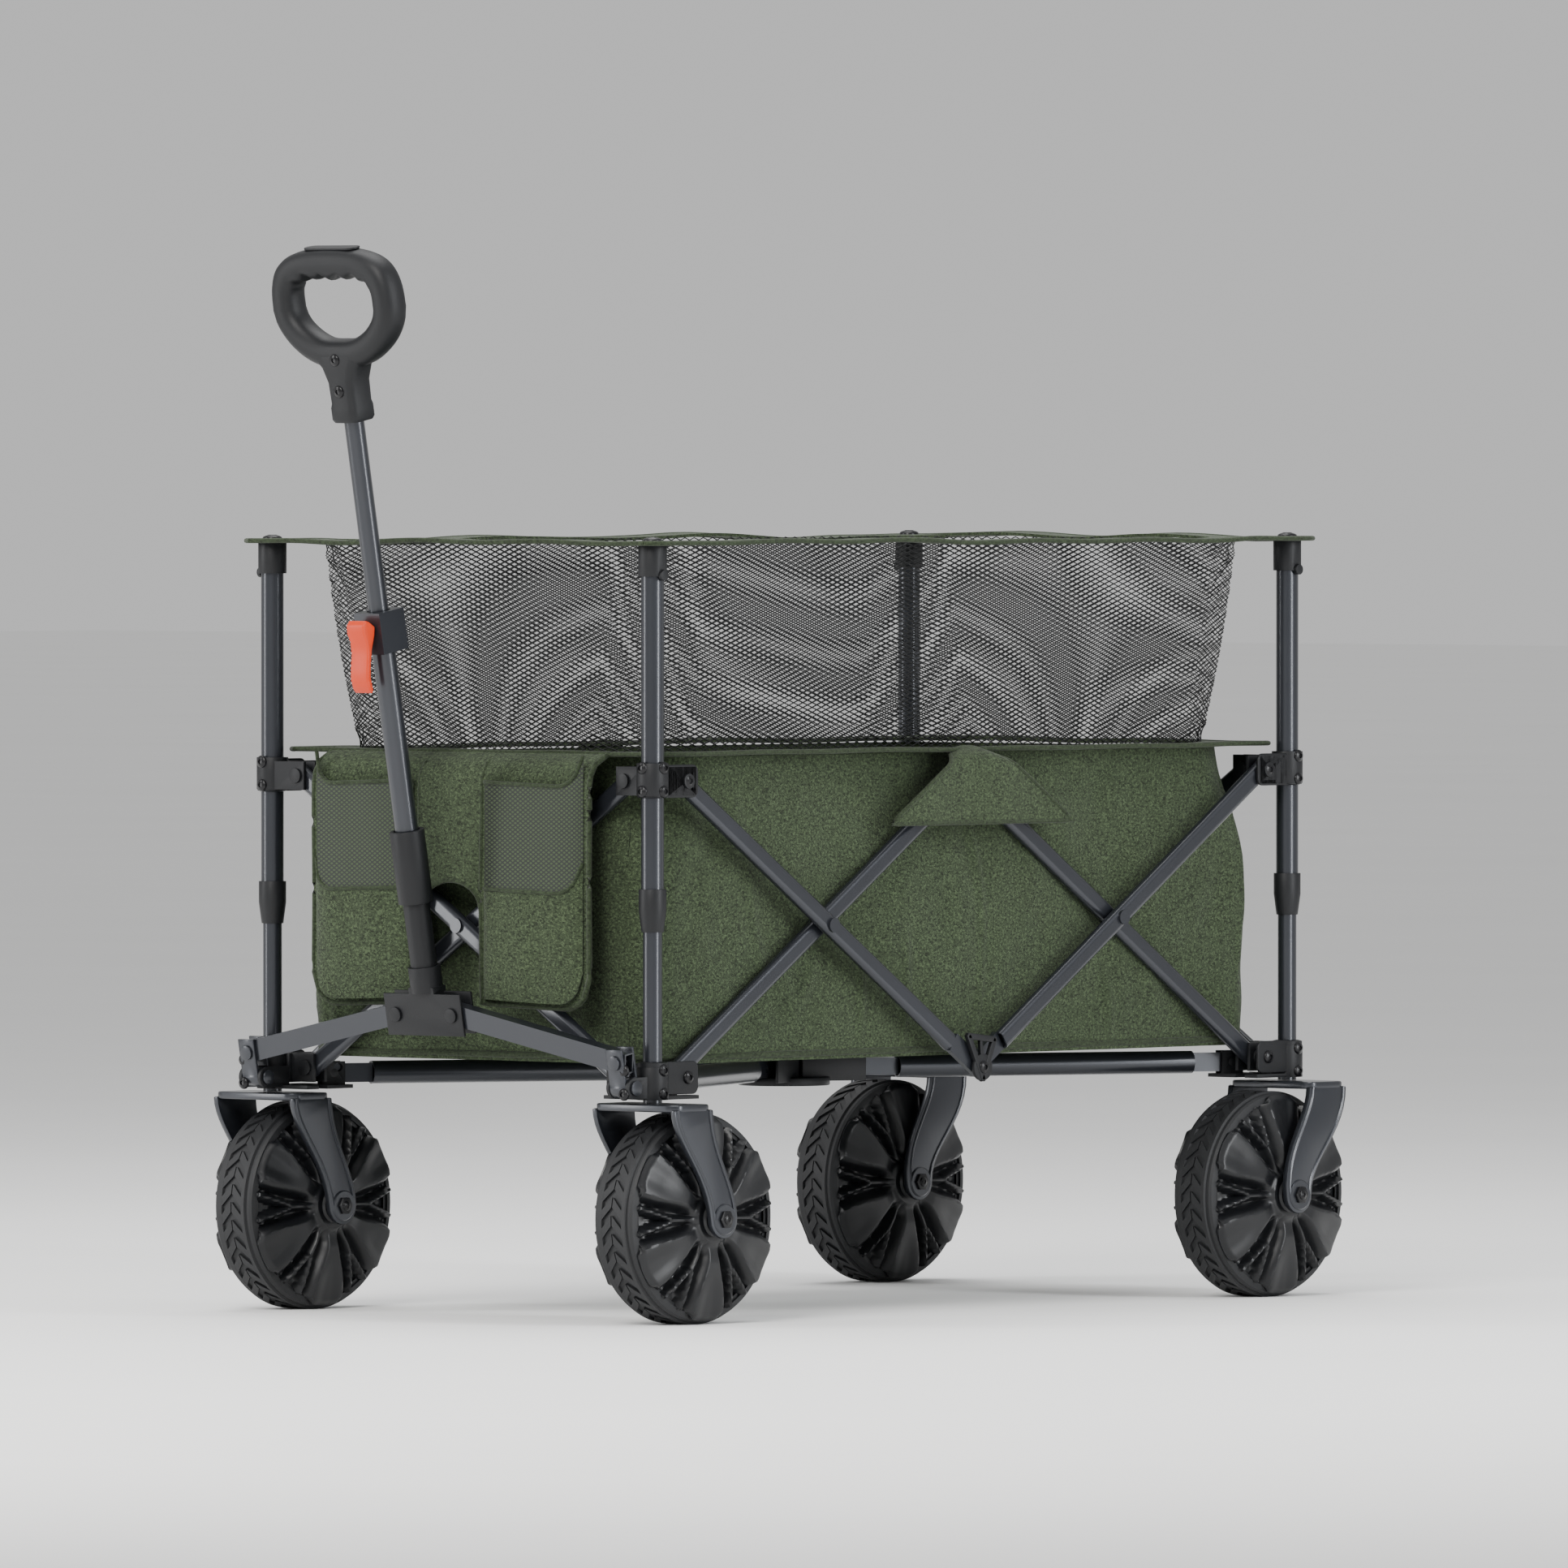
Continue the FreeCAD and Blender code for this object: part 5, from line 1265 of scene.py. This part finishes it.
class WagonWheel(bpy.types.PropertyGroup):
    """Sizes of the wheels."""

    core_radius: length("Core radius", "Outside radius of the wheel core", box_size("near_front_wheel_core").z / 2)
    petal_radius: length("Petal radius", "How far out the petals reach", 0.0955)
    face_half_width: length("Face half width", "From the wheel's middle to its face at the hub", 0.0405)
    face_fall: length("Face fall", "How much lower the face is at its edge", 0.010)
    valley: length("Valley", "Depth of the valleys between the petals", 0.0125)
    tyre_radius: length("Tyre radius", "Outside radius of the tyre", box_size("near_front_tyre").z / 2)
    tyre_half_width: length("Tyre half width", "Half the width of the tyre", box_size("near_front_tyre").x / 2)
    chevron_height: length("Chevron height", "How far the chevrons stand up", 0.0022)
    chevrons: IntProperty(name="Chevrons", description="Chevrons round the tread", default=36, min=3)


class WagonHandle(bpy.types.PropertyGroup):
    """Sizes of the grip, measured up the handle from the tilt pins."""

    grip_low: length("Loop low", "Lowest point of the loop's middle line", 0.697)
    grip_high: length("Loop high", "Highest point of the loop's middle line", 0.782)
    grip_half_width: length("Half width", "Half the width of the loop's middle line", 0.0645)
    grip_radius_in: length("Bar half height", "Half the loop's height in its own plane", 0.0138)
    grip_radius_out: length("Bar half depth", "Half the loop's depth out of its plane", 0.0155)


class WagonMoulding(bpy.types.PropertyGroup):
    """Rounding of the moulded pieces."""

    edge: length("Edge", "Radius on the edges of the moulded pieces", 0.0012)
    cheek_out: length("Cheek offset", "From a post's middle plane to a bracket's outer cheek", 0.0062)
    cheek_reach: length("Cheek reach", "How far a cheek reaches along the side", 0.053)
    cheek_height: length("Cheek height", "Height of a cheek", 0.031)
    pivot_reach: length("Pivot reach", "From a post to the pivot of its bars", joint_spot("fold").y - POST["near_front"].y)
    socket_top: length("Socket top", "Top of the floor hub's sockets", 0.2375)


class WagonStage(bpy.types.PropertyGroup):
    """Floor, lights and camera."""

    floor_span: length("Floor span", "Half the width of the floor", 40.0)
    floor_colour: colour("Floor", "The pale floor", (0.93, 0.93, 0.925))
    sky_colour: colour("Sky", "Light from all round", (1.0, 1.0, 1.0))
    sky_strength: FloatProperty(name="Sky strength", description="Strength of the light from all round", default=0.62)
    key_power: FloatProperty(name="Key power", description="Power of the main light", default=170.0, unit="POWER")
    lens: FloatProperty(name="Lens", description="Focal length in millimetres", default=480.0)
    azimuth: FloatProperty(name="Azimuth", description="Turn of the camera", default=math.radians(42.5), subtype="ANGLE")
    distance: length("Distance", "From the wagon to the camera", 20.0)
    eye_height: length("Eye height", "Height of the camera", 0.871)
    aim_height: length("Aim height", "Height the camera looks at", 0.496)


# ---------------------------------------------------------------- operators


class WAGON_OT_frame(bpy.types.Operator):
    """Finish the posts, bars, struts and tubes."""

    bl_idname = "wagon.frame"
    bl_label = "Frame Finishes"

    def execute(self, context):
        refinish_frame()
        return {"FINISHED"}


class WAGON_OT_brackets(bpy.types.Operator):
    """Add the moulded brackets, collars, caps and screws."""

    bl_idname = "wagon.brackets"
    bl_label = "Brackets"

    def execute(self, context):
        make_brackets(context.scene.wagon_moulding)
        make_bracket_plates(context.scene.wagon_moulding)
        make_webs()
        return {"FINISHED"}


class WAGON_OT_yoke(bpy.types.Operator):
    """Add the clevises, the yoke hub and the floor hub."""

    bl_idname = "wagon.yoke"
    bl_label = "Yoke"

    def execute(self, context):
        make_yoke(context.scene.wagon_moulding)
        make_hub_sockets(context.scene.wagon_moulding)
        return {"FINISHED"}


class WAGON_OT_wheels(bpy.types.Operator):
    """Add the four wheels and their tyres."""

    bl_idname = "wagon.wheels"
    bl_label = "Wheels"

    def execute(self, context):
        make_wheels(context.scene.wagon_wheel)
        return {"FINISHED"}


class WAGON_OT_forks(bpy.types.Operator):
    """Add the four forks with their axle nuts."""

    bl_idname = "wagon.forks"
    bl_label = "Forks"

    def execute(self, context):
        make_forks()
        return {"FINISHED"}


class WAGON_OT_handle(bpy.types.Operator):
    """Add the grip and the clamp lever."""

    bl_idname = "wagon.handle"
    bl_label = "Handle"

    def execute(self, context):
        make_grip(context.scene.wagon_handle)
        make_lever()
        return {"FINISHED"}


class WAGON_OT_tub(bpy.types.Operator):
    """Add the cloth tub: walls, floor, tapes, flaps and net."""

    bl_idname = "wagon.tub"
    bl_label = "Cloth Tub"

    def execute(self, context):
        cloth = context.scene.wagon_cloth
        walls = make_walls(cloth)
        nets = make_nets(cloth)
        tapes = make_top_tapes(cloth)
        flaps = make_flaps(cloth)
        floors = make_floor(cloth)
        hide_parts("basket")
        for panel in PANELS:
            end = panel in ("front", "rear")
            not end
            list(walls[panel + "_sewn"])
            long = 2 * ((HALF_X if end else HALF_Y) + cloth.overhang)
        return {"FINISHED"}


class WAGON_OT_pockets(bpy.types.Operator):
    """Add the pocket panel on the front end."""

    bl_idname = "wagon.pockets"
    bl_label = "Pocket Panel"

    def execute(self, context):
        cloth = context.scene.wagon_cloth
        made = make_pockets(cloth)
        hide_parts("pocket_panel")
        return {"FINISHED"}


class WAGON_OT_stage(bpy.types.Operator):
    """Add the floor, the lights and the camera."""

    bl_idname = "wagon.stage"
    bl_label = "Stage"

    def execute(self, context):
        make_stage(context.scene.wagon_stage)
        return {"FINISHED"}


OPERATORS = (
    WAGON_OT_frame, WAGON_OT_brackets, WAGON_OT_yoke, WAGON_OT_wheels, WAGON_OT_forks,
    WAGON_OT_handle, WAGON_OT_tub, WAGON_OT_pockets, WAGON_OT_stage,
)
SETTINGS = {
    "wagon_looks": WagonLooks, "wagon_cloth": WagonCloth, "wagon_wheel": WagonWheel,
    "wagon_handle": WagonHandle, "wagon_moulding": WagonMoulding, "wagon_stage": WagonStage,
}


class WAGON_PT_build(bpy.types.Panel):
    """Lists the steps that build the wagon."""

    bl_label = "Folding Wagon"
    bl_idname = "WAGON_PT_build"
    bl_space_type = "VIEW_3D"
    bl_region_type = "UI"
    bl_category = "Wagon"

    def draw(self, context):
        for operator in OPERATORS:
            self.layout.operator(operator.bl_idname)


def register():
    for group in SETTINGS.values():
        bpy.utils.register_class(group)
    for operator in OPERATORS:
        bpy.utils.register_class(operator)
    bpy.utils.register_class(WAGON_PT_build)
    for name, group in SETTINGS.items():
        setattr(bpy.types.Scene, name, PointerProperty(type=group))


def unregister():
    for name in SETTINGS:
        delattr(bpy.types.Scene, name)
    bpy.utils.unregister_class(WAGON_PT_build)
    for operator in reversed(OPERATORS):
        bpy.utils.unregister_class(operator)
    for group in SETTINGS.values():
        bpy.utils.unregister_class(group)


def main():
    register()
    bpy.ops.wagon.frame()
    bpy.ops.wagon.brackets()
    bpy.ops.wagon.yoke()
    bpy.ops.wagon.wheels()
    bpy.ops.wagon.forks()
    bpy.ops.wagon.handle()
    bpy.ops.wagon.tub()
    bpy.ops.wagon.pockets()
    bpy.ops.wagon.stage()


if __name__ == "__main__":
    main()
